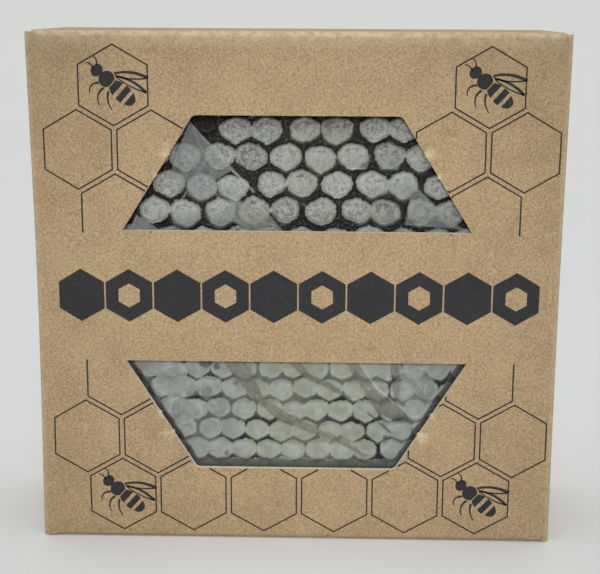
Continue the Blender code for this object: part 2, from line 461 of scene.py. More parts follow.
def grown(seed: bpy.types.Object, tree: bpy.types.NodeTree, values: dict, name: str) -> bpy.types.Object:
    """Runs a geometry tree on a seed object and keeps the result as a plain mesh.

    Args:
        seed: The object that the tree starts from. It is removed.
        tree: The geometry tree.
        values: The tree's inputs by name.
        name: The new object's name.

    Returns:
        The new object, with the tree's material on it.
    """
    modifier = seed.modifiers.new("grow", "NODES")
    modifier.node_group = tree
    for item in tree.interface.items_tree:
        if item.item_type == "SOCKET" and item.in_out == "INPUT" and item.name in values:
            modifier[item.identifier] = values[item.name]
    mesh = settled_mesh(seed)
    bpy.data.objects.remove(seed)
    mesh.name = name
    mesh.polygons.foreach_set("material_index", np.zeros(len(mesh.polygons), dtype=np.int32))
    return mesh_object(name, mesh, [material for material in mesh.materials if material])


def ride_and_slot(piece: bpy.types.Object, slot: str) -> bpy.types.Object:
    """Fixes a finished piece to the pack's one body and logs its triangle count and the name of its slot."""
    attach(piece, "root")
    piece.data.calc_loop_triangles()
    LOG.info("%s: %d triangles, slot %s", piece.name, len(piece.data.loop_triangles), slot)
    return piece


def smoothstep(low: float, high: float, value: np.ndarray) -> np.ndarray:
    """A soft step from 0 at low to 1 at high. Low may be the larger one."""
    share = np.clip((value - low) / (high - low), 0, 1)
    return share * share * (3 - 2 * share)


def blurred(field: np.ndarray, reach: float) -> np.ndarray:
    """A grid of numbers, softened over a reach given in grid steps, by way of its spectrum."""
    edge = int(3 * reach) + 1
    padded = np.pad(field, edge, mode="edge")
    rows, columns = np.fft.fftfreq(padded.shape[0])[:, None], np.fft.rfftfreq(padded.shape[1])
    window = np.exp(-2 * (math.pi * reach) ** 2 * (rows**2 + columns**2))
    soft = np.fft.irfft2(np.fft.rfft2(padded) * window, s=padded.shape)
    return soft[edge:-edge, edge:-edge]


# ----------------------------------------------------------------------------------------------- the window


@dataclass(frozen=True)
class HexWindow:
    """The hexagonal window, split by the band.

    Args:
        centre_z: Height of its middle.
        half_height: From the middle to its top edge.
        edge_half_width: Half the length of its top and bottom edges.
        band_half_height: Half the height of the band that splits it.
        side_angle: How far its slanted sides lean from upright.
        corner_radius: Rounding of the corners away from the band.
        nick_width: Width of the little bridges that were left when the board was cut out.
        nick_reach: How far they stick out into the window.
        nick_places: Where they stand on a slanted side, as shares of its length from the outer corner.
    """

    centre_z: float = 54.1 * MM
    half_height: float = 37.9 * MM
    edge_half_width: float = 21.3 * MM
    band_half_height: float = 14.0 * MM
    side_angle: float = math.radians(32)
    corner_radius: float = 1.4 * MM
    nick_width: float = 0.5 * MM
    nick_reach: float = 0.28 * MM
    nick_places: tuple = (0.34, 0.52)

    @property
    def slope(self) -> float:
        """How much wider the window gets for each metre nearer the band."""
        return math.tan(self.side_angle)

    def half_width(self, z: np.ndarray) -> np.ndarray:
        """Half the window's width at a height, as if its corners were sharp."""
        return self.edge_half_width + (self.half_height - abs(z - self.centre_z)) * self.slope

    def corners(self, region: Region, margin: float = 0.0) -> list[Vector]:
        """The corners of one half, grown by a margin: left and right at the band, right and left at the edge."""
        side = region.value
        band = self.centre_z + side * (self.band_half_height - margin)
        edge = self.centre_z + side * (self.half_height + margin)
        lean = margin / math.cos(self.side_angle)
        at_band, at_edge = self.half_width(band) + lean, self.half_width(edge) + lean
        return [Vector(c) for c in ((-at_band, band), (at_band, band), (at_edge, edge), (-at_edge, edge))]

    def outline(self, region: Region, step: float) -> list[Vector]:
        """The cut edge of one half, with round outer corners and its nicks, as points a step apart.

        Args:
            region: Which half.
            step: Longest distance between two points.

        Returns:
            A closed line of (x, z) points.
        """
        left, right, far_right, far_left = self.corners(region)
        points = [*self._run(left, right, step)[:-1]]
        points += self._slant(far_right, right, step)[::-1]
        points += self._round(right, far_right, far_left)
        edge_end = far_left + (far_right - far_left).normalized() * self.corner_radius
        points += self._run(points[-1], edge_end, step)[1:-1]
        points += self._round(far_right, far_left, left)
        points += self._slant(far_left, left, step)[:-1]
        return points

    def _run(self, start: Vector, end: Vector, step: float) -> list[Vector]:
        """Evenly spaced points from start to end."""
        count = max(1, math.ceil((end - start).length / step))
        return [start.lerp(end, i / count) for i in range(count + 1)]

    def _round(self, before: Vector, corner: Vector, after: Vector, steps: int = 5) -> list[Vector]:
        """The arc that rounds one corner."""
        back, ahead = (before - corner).normalized(), (after - corner).normalized()
        half = back.angle(ahead) / 2
        reach = self.corner_radius / math.tan(half)
        middle = corner + (back + ahead).normalized() * self.corner_radius / math.sin(half)
        start, end = corner + back * reach - middle, corner + ahead * reach - middle
        turn = start.angle_signed(end)
        return [middle + Matrix.Rotation(-turn * i / steps, 2) @ start for i in range(steps + 1)]

    def _slant(self, outer: Vector, inner: Vector, step: float) -> list[Vector]:
        """A slanted side from its round outer corner to the band, with its nicks."""
        along = (inner - outer).normalized()
        out = Vector((-math.copysign(1, outer.x), 0))
        start = outer + along * self.corner_radius / math.tan(math.pi / 4 + self.side_angle / 2)
        length = (inner - outer).length
        points = [start]
        for share in self.nick_places:
            foot = outer + along * length * share
            half = along * self.nick_width / 2
            reach = out * self.nick_reach
            points += self._run(points[-1], foot - half, step)[1:]
            points += [foot - half * 0.7 + reach, foot + half * 0.8 + reach * 0.8, foot + half]
        return points + self._run(points[-1], inner, step)[1:]

    def contains(self, x: float, z: float, margin: float = 0.0) -> bool:
        """Whether a point lies in either half, grown by a margin."""
        rise = abs(z - self.centre_z)
        in_height = self.band_half_height - margin < rise < self.half_height + margin
        return in_height and abs(x) < self.half_width(z) + margin / math.cos(self.side_angle)


# ------------------------------------------------------------------------------------------------ the carton


@dataclass
class Carton:
    """The folded carton, laid out as one sheet's middle surface and then given its thickness.

    Args:
        window: The window in the front wall.
        board: Thickness of the board.
        gap: Space between parts of the board that only touch.
        fold_inside: Inner radius of a fold.
        fold_steps: Facets round a fold.
        ear_drop: How far the walls' corners stay below the lid.
        notch: Width of the slits beside the flaps.
        tuck: Length of the tucked flaps.
        tuck_half_widths: Half their width at the fold, along the sides and at the end.
        dust: Length of the dust flaps.
        seam_setback: How far the back wall's raw edge stays in from the side.
        seam_flap: Width of the glued flap.
        seam_trim: Length at each end where only the seam's fold is left.
        pinch_left: How far the left wall bows in at half height.
        pinch_right: The same for the right wall.
        spacing: Distance between the points of the flat walls.
    """

    window: HexWindow
    board: float = 1.0 * MM
    gap: float = 0.3 * MM
    fold_inside: float = 0.3 * MM
    fold_steps: int = 8
    ear_drop: float = 0.3 * MM
    notch: float = 0.1 * MM
    tuck: float = 12.0 * MM
    tuck_half_widths: tuple = (49.5 * MM, 49.0 * MM, 46.0 * MM)
    dust: float = 17.0 * MM
    seam_setback: float = 0.3 * MM
    seam_flap: float = 14.0 * MM
    seam_trim: float = 16.0 * MM
    pinch_left: float = 0.55 * MM
    pinch_right: float = 0.25 * MM
    spacing: float = 4.0 * MM

    def __post_init__(self) -> None:
        """Takes the carton's outer size from the frame."""
        low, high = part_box("carton")
        self.half_width, self.half_depth, self.height = high.x, high.y, round(high.z, 5)
        self.side = self.half_width - self.board / 2
        self.front = -self.half_depth + self.board / 2
        self.fold = self.fold_inside + self.board / 2
        self.lid_level = self.board / 2
        self.dust_level = self.lid_level + self.board + self.gap
        self.lid_half = self.half_width - self.fold_inside - self.board - self.notch
        self.lid_back = -self.front - self.board - self.gap
        self.dust_front = -self.half_depth + self.fold_inside + self.board + self.notch
        self.dust_back = self.lid_back - self.board - self.gap
        self.slit_end = self.dust_level + self.fold + self.notch

    def rounded(self, corners: list[tuple]) -> list[Vector]:
        """The middle line of board that is folded at each inner corner."""
        points = [Vector(c) for c in corners]
        path = [points[0]]
        for before, corner, after in zip(points, points[1:], points[2:]):
            back, ahead = (before - corner).normalized(), (after - corner).normalized()
            centre = corner + (back + ahead) * self.fold
            start, end = -ahead * self.fold, -back * self.fold
            for i in range(self.fold_steps + 1):
                angle = math.pi / 2 * i / self.fold_steps
                path.append(centre + start * math.cos(angle) + end * math.sin(angle))
        return [*path, points[-1]]

    def levels(self) -> list[float]:
        """The heights at which the walls have points."""
        roots = [self.lid_level + self.fold, self.dust_level + self.fold]
        low = [0, *roots, self.slit_end, 2 * self.slit_end, self.seam_trim]
        high = [self.height - max(inset, self.ear_drop) for inset in reversed(low)]
        count = round((high[0] - low[-1]) / self.spacing)
        middle = [low[-1] + (high[0] - low[-1]) * i / count for i in range(1, count)]
        return [*low, *middle, *high]

    def wall_line(self) -> list[Vector]:
        """The walls' middle line from the back wall's raw edge round to the end of the seam's flap."""
        back, flap_plane = -self.front, -self.front - self.board - self.gap
        seam_edge = (self.seam_setback - self.half_width, back)
        corners = [seam_edge, (self.side, back), (self.side, self.front), (-self.side, self.front)]
        corners += [(-self.side, flap_plane), (self.seam_flap - self.half_width, flap_plane)]
        line = self.rounded(corners)
        dust = (self.dust_front - self.notch, self.dust_front, self.dust_back, self.dust_back + self.notch)
        near = self.fold + 1.2 * MM
        side_stops = [*dust, self.front + near, back - near]
        back_stops = [s * (self.side - near) for s in (-1, 1)]
        full = [line[0]]
        for start, end in zip(line, line[1:]):
            run = end - start
            stops = []
            if run.length > 5 * MM and abs(run.x) < self.gap:
                stops = [y for y in side_stops if min(start.y, end.y) < y < max(start.y, end.y)]
                stops = [Vector((start.x, y)) for y in sorted(stops, reverse=run.y < 0)]
            elif run.length > 5 * MM and start.y > 0:
                stops = [x for x in back_stops if min(start.x, end.x) < x < max(start.x, end.x)]
                stops = [Vector((x, start.y)) for x in sorted(stops, reverse=run.x < 0)]
            for stop in [*stops, end]:
                count = max(1, round((stop - full[-1]).length / self.spacing))
                full += [full[-1].lerp(stop, (i + 1) / count) for i in range(count)]
        return full

    def wall_inset(self, middle: Vector) -> float:
        """How far the side and back walls keep from each end of the carton at a place along their line."""
        on_side = abs(middle.x) > self.side - self.board / 2
        if on_side and self.dust_front < middle.y < self.dust_back:
            return self.dust_level + self.fold
        if on_side and self.dust_front - self.notch < middle.y < self.dust_back + self.notch:
            return self.slit_end
        in_flap = middle.y < -self.front - self.board / 2 and middle.y > 0
        return self.seam_trim if in_flap and self.fold - self.side < middle.x < 0 else 0

    def add_walls(self, shape: bmesh.types.BMesh) -> None:
        """The side and back walls, the vertical folds and the seam's flap."""
        levels, line = self.levels(), self.wall_line()
        flat = self.side - self.fold
        for start, end in zip(line, line[1:]):
            middle = (start + end) / 2
            if middle.y < 0 and abs(middle.x) < flat:
                continue
            inset = self.wall_inset(middle)
            for low, high in zip(levels, levels[1:]):
                if low >= inset and high <= self.height - max(inset, self.ear_drop):
                    add_face(shape, (*start, low), (*end, low), (*end, high), (*start, high))

    def front_border(self) -> list[Vector]:
        """The front wall's own border as (x, z) points, with the steps at the lid's slits."""
        flat, root = self.side - self.fold, self.lid_level + self.fold
        top = self.height
        slit_end = root + self.notch
        steps = [(flat, 0), (self.lid_half + self.notch, 0), (self.lid_half + self.notch, slit_end)]
        steps += [(self.lid_half, slit_end), (self.lid_half, root)]
        lower_right = [Vector(p) for p in steps]
        lower_left = [Vector((-x, z)) for x, z in reversed(steps)]
        upper = [Vector((x, top - max(z, self.ear_drop))) for x, z in [*lower_left, *lower_right]]
        row = [Vector((x, root)) for x in self.lid_columns()[1:-1]]
        ceiling = [Vector((x, top - root)) for x in self.lid_columns()[1:-1]]
        right = [Vector((flat, z)) for z in self.levels()[1:-1]]
        left = [Vector((-flat, z)) for z in reversed(self.levels()[1:-1])]
        half = len(steps)
        lower = [*lower_left[:half], *row, *lower_right[::-1]]
        above = [*upper[half:], *ceiling[::-1], *upper[:half][::-1]]
        return [*lower, *right, *above, *left]

    def lid_columns(self) -> list[float]:
        """Where the lid and the bottom have points across the carton."""
        count = round(2 * self.lid_half / self.spacing)
        return [self.lid_half * (2 * i / count - 1) for i in range(count + 1)]

    def add_front(self, shape: bmesh.types.BMesh) -> None:
        """The front wall between its folds, with both halves of the window cut out."""
        border = self.front_border()
        holes = [self.window.outline(region, 1.0 * MM) for region in Region]
        points, edges = [], []
        for loop in [border, *holes]:
            first = len(points)
            points += loop
            edges += [(first + i, first + (i + 1) % len(loop)) for i in range(len(loop))]
        flat, root, step = self.side - self.fold, self.lid_level + self.fold, 3.0 * MM
        for i in range(1, round(2 * flat / step)):
            for j in range(1, round(self.height / step)):
                x, z = i * step - flat, j * step
                inside = root + MM < z < self.height - root - MM and abs(x) < flat - MM
                if inside and not self.window.contains(x, z, MM):
                    points.append(Vector((x, z)))
        places, _, faces, _, _, _ = geometry.delaunay_2d_cdt(points, edges, [], 0, 1e-7)
        for face in faces:
            corners = [places[i] for i in face]
            middle = sum(corners, Vector((0, 0))) / len(corners)
            if in_polygon(middle, border) and not any(in_polygon(middle, hole) for hole in holes):
                add_face(shape, *((c.x, self.front, c.y) for c in corners))

    def add_lid(self, shape: bmesh.types.BMesh, upper: bool) -> None:
        """The lid, or the bottom, which hangs on the front wall and tucks in behind the back wall."""
        root = self.lid_level + self.fold
        corners = [(self.front, root), (self.front, self.lid_level), (self.lid_back, self.lid_level)]
        path = self.rounded([*corners, (self.lid_back, self.tuck)])[1:]
        path.insert(-1, Vector((self.lid_back, self.tuck * 0.7)))
        at_fold, along, at_end = self.tuck_half_widths
        steps = self.fold_steps
        widths = [self.lid_half] * (steps + 2) + [at_fold] * steps + [along, at_end]
        rows = []
        for width, (y, z) in zip(widths, path):
            level = self.height - z if upper else z
            rows.append([(x * width / self.lid_half, y, level) for x in self.lid_columns()])
        for row, following in zip(rows, rows[1:]):
            for i in range(len(row) - 1):
                add_face(shape, row[i], row[i + 1], following[i + 1], following[i])

    def add_dust_flap(self, shape: bmesh.types.BMesh, side: int, upper: bool) -> None:
        """A flap that folds in from a side wall, just inside the lid or the bottom."""
        corners = [(self.side, self.dust_level + self.fold), (self.side, self.dust_level)]
        path = self.rounded([*corners, (self.side - self.dust, self.dust_level)])[1:]
        stops = [v.y for v in self.wall_line() if abs(v.x - self.side) < self.gap / 3]
        ys = sorted({round(y, 7) for y in stops if self.dust_front - 1e-6 < y < self.dust_back + 1e-6})
        rows = [[(side * x, y, self.height - z if upper else z) for y in ys] for x, z in path]
        for row, following in zip(rows, rows[1:]):
            for i in range(len(row) - 1):
                add_face(shape, row[i], row[i + 1], following[i + 1], following[i])

    def middle_surface(self) -> bpy.types.Mesh:
        """The whole blank, folded up, as a surface with no thickness."""
        shape = bmesh.new()
        self.add_front(shape)
        self.add_walls(shape)
        for upper in (False, True):
            self.add_lid(shape, upper)
            for side in (-1, 1):
                self.add_dust_flap(shape, side, upper)
        bmesh.ops.remove_doubles(shape, verts=shape.verts, dist=self.gap / 100)
        bmesh.ops.recalc_face_normals(shape, faces=shape.faces)
        mesh = bpy.data.meshes.new("carton_board")
        shape.to_mesh(mesh)
        shape.free()
        return mesh

    def relax(self, points: np.ndarray) -> np.ndarray:
        """Lets the side walls bow in a little at half height. Takes and returns an array of points."""
        rise = np.sin(np.pi * np.clip(points[:, 2] / self.height, 0, 1)) ** 1.3
        left = smoothstep(-44 * MM, -self.half_width, points[:, 0])
        right = smoothstep(44 * MM, self.half_width, points[:, 0])
        points[:, 0] += rise * (left * self.pinch_left - right * self.pinch_right)
        return points

    def fold_highlight_and_wear(self, points: np.ndarray) -> np.ndarray:
        """How pale each point is painted: a painted highlight along the folds at the corners and along the lid's
        front fold, and pale wear at the window's nicks.
        """
        corner_x, corner_y = self.half_width - abs(points[:, 0]), self.half_depth - abs(points[:, 1])
        # Painted highlight along the upright folds at the corners.
        fold = smoothstep(1.0 * MM, 0.0, np.hypot(corner_x, corner_y) - 0.45 * MM)
        top = self.height - points[:, 2]
        # Painted highlight along the lid's front fold, stronger than the one at the corners.
        lid = smoothstep(1.9 * MM, 0.6 * MM, np.hypot(top, points[:, 1] + self.half_depth))
        amount = 0.5 * fold + 0.95 * lid
        # Pale worn fibres round the window's nicks, on the front wall's outer face only.
        for region in Region:
            left, _, _, far_left = self.window.corners(region)
            for share in self.window.nick_places:
                spot = far_left.lerp(left, share)
                away = np.hypot(abs(points[:, 0]) + spot.x, points[:, 2] - spot.y)
                amount += smoothstep(0.9 * MM, 0.3 * MM, away) * (points[:, 1] < self.front)
        return np.clip(amount, 0, 1)

    def build(self, kraft: Kraft) -> bpy.types.Object:
        """Builds the carton and dresses it.

        Args:
            kraft: The board's finish.

        Returns:
            The finished piece.
        """
        surface = mesh_object("carton_surface", self.middle_surface(), [kraft.face(), kraft.raw_edge()])
        wall = surface.modifiers.new("board", "SOLIDIFY")
        wall.thickness, wall.offset = self.board, 0
        wall.use_even_offset = True
        wall.material_offset_rim = 1
        mesh = settled_mesh(surface)
        materials = list(surface.data.materials)
        bpy.data.objects.remove(surface)
        points = np.array([v.co for v in mesh.vertices])
        # Painted fold highlights and pale wear at the nicks, kept as a point attribute.
        highlit_and_worn = mesh.attributes.new("fold_highlight_and_wear", "FLOAT", "POINT")
        highlit_and_worn.data.foreach_set("value", self.fold_highlight_and_wear(points).astype(np.float32))
        mesh.vertices.foreach_set("co", self.relax(points).astype(np.float32).ravel())
        mesh.shade_smooth()
        mesh.set_sharp_from_angle(angle=math.radians(35))
        piece = mesh_object("folded_carton", mesh, materials)
        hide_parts("carton")
        return ride_and_slot(piece, "kraft_board")


def add_face(shape: bmesh.types.BMesh, *corners: tuple) -> None:
    """Adds one face with corners of its own, which are welded later."""
    shape.faces.new([shape.verts.new(corner) for corner in corners])


def in_polygon(point: Vector, corners: list[Vector]) -> bool:
    """Whether a 2D point lies in a closed line."""
    x, y = point
    inside = False
    for (ax, ay), (bx, by) in zip(corners, [*corners[1:], corners[0]]):
        if (ay > y) != (by > y) and x < ax + (y - ay) * (bx - ax) / (by - ay):
            inside = not inside
    return inside


# ------------------------------------------------------------------------------------------------ the print


@dataclass
class FrontPrint:
    """What is printed on the front wall: thin hexagons, a mark in each corner and the title's hexagons.

    Args:
        window: The window, where nothing is printed.
        carton: The carton that carries the print.
        shift: How far the whole print sits to the right of the middle.
        pitch: Distance between neighbouring hexagons.
        flat_to_flat: Width of a hexagon.
        row_heights: Height of the rows below the window, from the lowest up.
        mirror_z: The row heights above the window are these, mirrored about this height.
        line: Width of the thin lines.
        ink: Thickness of the ink.
        title_height: Height of the title's hexagons.
        title_pitch: Distance between them.
        title_centre: The title's middle, as (x, z).
        title_hole: Size of the hole in its rings, as a share of the hexagon.
        title: What each of its places holds.
    """

    window: HexWindow
    carton: Carton
    shift: float = 0.79 * MM
    pitch: float = 15.27 * MM
    flat_to_flat: float = 14.12 * MM
    row_heights: tuple = (9.92 * MM, 23.02 * MM, 36.12 * MM)
    mirror_z: float = 53.91 * MM
    line: float = 0.34 * MM
    ink: float = 0.03 * MM
    title_height: float = 11.3 * MM
    title_pitch: float = 10.13 * MM
    title_centre: tuple = (0.35 * MM, 54.25 * MM)
    title_hole: float = 0.46
    title: tuple = (TitleShape.SOLID, TitleShape.RING) * 5

    def hexagon(self, x: float, z: float, skipped: tuple = ()) -> list[list[Vector]]:
        """The sides of one printed hexagon that lie outside the window, as pairs of points.

        Args:
            x: Middle of the hexagon across the carton.
            z: Its height.
            skipped: Numbers of the sides that aren't printed, counted from the top point clockwise.

        Returns:
            The visible lines.
        """
        radius = self.flat_to_flat / math.sqrt(3)
        angles = [math.radians(90 - 60 * i) for i in range(6)]
        corners = [Vector((x + radius * math.cos(a), z + radius * math.sin(a))) for a in angles]
        lines = []
        for i, (start, end) in enumerate(zip(corners, [*corners[1:], corners[0]])):
            if i not in skipped:
                lines += self.outside(start, end)
        return lines

    def outside(self, start: Vector, end: Vector) -> list[list[Vector]]:
        """The parts of a line that don't cross the window, which ends the line at its cut edge."""
        shares = [i / 60 for i in range(61)]
        free = [not self.window.contains(*start.lerp(end, s), self.line / 3) for s in shares]
        parts, first = [], None
        for i, clear in enumerate([*free, False]):
            if clear and first is None:
                first = i
            elif not clear and first is not None:
                if i - first > 1:
                    parts.append([start.lerp(end, shares[first]), start.lerp(end, shares[i - 1])])
                first = None
        return parts

    def line_art(self) -> list[list[Vector]]:
        """Every thin line of the print, in both clusters."""
        low, near, partial = self.row_heights
        lines = []
        for side in (-1, 1):
            for z, columns in ((low, (2.5, 1.5, 0.5)), (near, (3, 2))):
                for column in columns:
                    lines += self.hexagon(self.shift + side * column * self.pitch, z)
            lines += self.hexagon(self.shift + side * 2.5 * self.pitch, partial, skipped=(0, 5))
            for z, columns in ((low, (2.5,)), (near, (3, 2))):
                for column in columns:
                    lines += self.hexagon(self.shift + side * column * self.pitch, 2 * self.mirror_z - z)
            upper = 2 * self.mirror_z - partial
            lines += self.hexagon(self.shift + side * 2.5 * self.pitch, upper, skipped=(2, 3))
        return lines

    def place(self, points: np.ndarray) -> np.ndarray:
        """Moves flat art, drawn in x and y with its ink in z, onto the front wall."""
        placed = np.column_stack([points[:, 0], -self.carton.half_depth - points[:, 2], points[:, 1]])
        return self.carton.relax(placed)

    def finish_piece(self, piece: bpy.types.Object, name: str) -> bpy.types.Object:
        """Stands a piece of flat art on the front wall, with its faces pointing out."""
        points = np.array([v.co for v in piece.data.vertices])
        piece.data.vertices.foreach_set("co", self.place(points).astype(np.float32).ravel())
        shape = bmesh.new()
        shape.from_mesh(piece.data)
        bmesh.ops.recalc_face_normals(shape, faces=shape.faces)
        shape.to_mesh(piece.data)
        shape.free()
        piece.name = name
        return ride_and_slot(piece, "printing_ink")

    def build_lines(self, ink: bpy.types.Material) -> bpy.types.Object:
        """The thin hexagons, drawn by a geometry tree along their sides."""
        mesh = bpy.data.meshes.new("hexagon_lines")
        lines = self.line_art()
        points = [(*point, 0) for line in lines for point in line]
        mesh.from_pydata(points, [(2 * i, 2 * i + 1) for i in range(len(lines))], [])
        seed = mesh_object("hexagon_lines", mesh, [])
        values = {"Line Width": self.line, "Ink Thickness": 2 * self.ink, "Ink": ink}
        return self.finish_piece(grown(seed, line_tree(), values, "hexagon_lines"), "printed_hexagons")

    def build_title(self, ink: bpy.types.Material) -> list[bpy.types.Object]:
        """The title's row: one piece of solid hexagons and one of ring-shaped ones."""
        pieces = []
        x, z = self.title_centre
        first = x - (len(self.title) - 1) / 2 * self.title_pitch
        for kind in TitleShape:
            numbers = [i for i, place in enumerate(self.title) if place is kind]
            places = [(first + i * self.title_pitch, z, 0) for i in numbers]
            mesh = bpy.data.meshes.new(f"title_{kind.value}")
            mesh.from_pydata(places, [], [])
            hole = self.title_hole if kind is TitleShape.RING else 0.0
            values = {"Radius": self.title_height / 2, "Hole": hole}
            values |= {"Ink Thickness": 2 * self.ink, "Ink": ink}
            piece = grown(mesh_object(mesh.name, mesh, []), hexagon_tree(), values, mesh.name)
            pieces.append(self.finish_piece(piece, f"printed_title_{kind.value}"))
        return pieces

    def build_marks(self, ink: bpy.types.Material) -> bpy.types.Object:
        """The same insect mark in each of the four corner hexagons."""
        low = self.row_heights[0]
        mark = InsectMark().mesh(2 * self.ink)
        places = []
        for side in (-1, 1):
            places += [(self.shift + side * 2.5 * self.pitch, z, 0) for z in (low, 2 * self.mirror_z - low)]
        shape = bmesh.new()
        for place in places:
            copy = mark.copy()
            copy.transform(Matrix.Translation(place))
            shape.from_mesh(copy)
            bpy.data.meshes.remove(copy)
        mesh = bpy.data.meshes.new("insect_marks")
        shape.to_mesh(mesh)
        shape.free()
        return self.finish_piece(mesh_object("insect_marks", mesh, [ink]), "printed_insects")

    def build(self, ink: Ink) -> None:
        """Builds every printed piece in one ink."""
        material = ink.printed()
        self.build_lines(material)
        self.build_title(material)
        self.build_marks(material)


@dataclass
class InsectMark:
    """A plain striped insect, drawn flat in x and y round the middle of its hexagon.

    Args:
        tilt: How far the body is turned, head up to the left.
        size: Size of the whole mark, where 1 is a body of about 10 mm.
        head: Half length and half width of the head.
        chest: The same for the chest.
        belly: The same for the belly.
        stripes: Where the belly's stripes start and end, as shares of its half length.
        offset: How far the mark sits from the hexagon's middle.
    """

    tilt: float = math.radians(-42)
    size: float = 1.08
    head: tuple = (1.05 * MM, 1.25 * MM)
    chest: tuple = (1.45 * MM, 1.55 * MM)
    belly: tuple = (3.0 * MM, 1.65 * MM)
    stripes: tuple = ((-0.82, -0.36), (-0.1, 0.3), (0.52, 0.97))
    offset: tuple = (-0.2 * MM, 0.3 * MM, 0)

    def oval(self, x: float, half_length: float, half_width: float, low: float = -1, high: float = 1) -> list:
        """A slice of an oval whose middle is at x, between two shares of its half length."""
        stops = [low + (high - low) * (1 - math.cos(math.pi * i / 10)) / 2 for i in range(11)]
        upper = [(x + half_length * s, half_width * math.sqrt(max(0.0, 1 - s * s))) for s in stops]
        lower = [(px, -py) for px, py in reversed(upper) if py > 1e-6]
        return upper + lower

    def stroke(self, start: tuple, bend: tuple, end: tuple, thick: float, thin: float) -> list:
        """A curved stroke through a bend, from thick to thin."""
        a, b, c = Vector(start), Vector(bend), Vector(end)
        left, right = [], []
        for i in range(13):
            t = i / 12
            point = a * (1 - t) ** 2 + b * 2 * t * (1 - t) + c * t * t
            along = ((b - a) * (1 - t) + (c - b) * t).normalized()
            reach = Vector((-along.y, along.x)) * (thick + (thin - thick) * t) / 2
            left.append(point + reach)
            right.append(point - reach)
        return [tuple(p * MM) for p in [*left, *reversed(right)]]

    def shapes(self) -> list[list[tuple]]:
        """Every closed outline of the mark, along the body's own axis, with the head at -x."""
        made = [self.oval(-3.7 * MM, *self.head), self.oval(-1.3 * MM, *self.chest, -1, 0.86)]
        made += [self.oval(2.6 * MM, *self.belly, low, high) for low, high in self.stripes]
        made += [
            self.stroke((-4.3, 0.7), (-5.2, 1.9), (-6.0, 1.4), 0.32, 0.16),
            self.stroke((-4.4, -0.2), (-5.6, 0.4), (-6.2, -0.4), 0.32, 0.16),
            self.stroke((-1.9, -1.5), (-3.4, -2.9), (-1.9, -4.1), 0.42, 0.18),
            self.stroke((-0.6, -1.6), (-1.2, -3.6), (0.9, -4.6), 0.46, 0.18),
            self.stroke((0.5, -1.5), (1.2, -3.2), (3.3, -3.7), 0.46, 0.18),
            self.stroke((-0.9, 1.7), (0.8, 4.4), (4.4, 5.4), 0.40, 0.62),
            self.stroke((-0.6, 1.6), (2.0, 2.5), (4.3, 5.3), 0.25, 0.30),
            self.stroke((-0.3, 1.6), (2.4, 3.4), (5.9, 3.1), 0.36, 0.56),
            self.stroke((-0.2, 1.5), (3.2, 1.7), (5.8, 3.1), 0.22, 0.28),
        ]
        return made

    def mesh(self, thickness: float) -> bpy.types.Mesh:
        """The mark as a thin closed mesh, from just below its plane to a thickness above it."""
        shape = bmesh.new()
        for outline in self.shapes():
            face = shape.faces.new([shape.verts.new((x, y, -thickness / 2)) for x, y in outline])
            swept = bmesh.ops.extrude_face_region(shape, geom=[face])["geom"]
            raised = [v for v in swept if isinstance(v, bmesh.types.BMVert)]
            bmesh.ops.translate(shape, verts=raised, vec=(0, 0, thickness))
        bmesh.ops.recalc_face_normals(shape, faces=shape.faces)
        turned = Matrix.Scale(self.size, 4) @ Matrix.Rotation(self.tilt, 4, "Z")
        bmesh.ops.transform(shape, matrix=Matrix.Translation(self.offset) @ turned, verts=shape.verts)
        mesh = bpy.data.meshes.new("insect_mark")
        shape.to_mesh(mesh)
        shape.free()
        return mesh


def geometry_tree(name: str, inputs: dict) -> tuple[Graph, object, object]:
    """Makes a geometry tree whose result is one geometry.

    Args:
        name: The tree's name.
        inputs: Socket type and default value by name, after the geometry that every tree takes.

    Returns:
        The graph, the tree's input node and its output node.
    """
    taken = {"Geometry": ("NodeSocketGeometry", None), **inputs}
    return new_group("GeometryNodeTree", name, taken, {"Geometry": "NodeSocketGeometry"})


def line_tree() -> bpy.types.NodeTree:
    """A geometry tree that turns flat edges into thin ribbons of ink.

    Returns:
        A tree with Geometry, Line Width, Ink Thickness and Ink inputs.
    """
    inputs = {
        "Line Width": ("NodeSocketFloat", 0.0003),
        "Ink Thickness": ("NodeSocketFloat", 0.00003),
        "Ink": ("NodeSocketMaterial", None),
    }
    graph, given, result = geometry_tree("ink_lines", inputs)
    near = {"Geometry": given.outputs["Geometry"], "Distance": 0.00001}
    welded = graph.add("GeometryNodeMergeByDistance", near)
    curves = graph.add("GeometryNodeMeshToCurve", {"Mesh": welded.outputs[0]}).outputs[0]
    upright = graph.add("GeometryNodeSetCurveNormal", {"Curve": curves}, mode="Z_UP").outputs[0]
    size = {"Width": given.outputs["Line Width"], "Height": given.outputs["Ink Thickness"]}
    section = graph.add("GeometryNodeCurvePrimitiveQuadrilateral", size, mode="RECTANGLE").outputs[0]
    swept = {"Curve": upright, "Profile Curve": section, "Fill Caps": True}
    finish(graph, graph.add("GeometryNodeCurveToMesh", swept).outputs[0], given.outputs["Ink"], result)
    return graph.tree


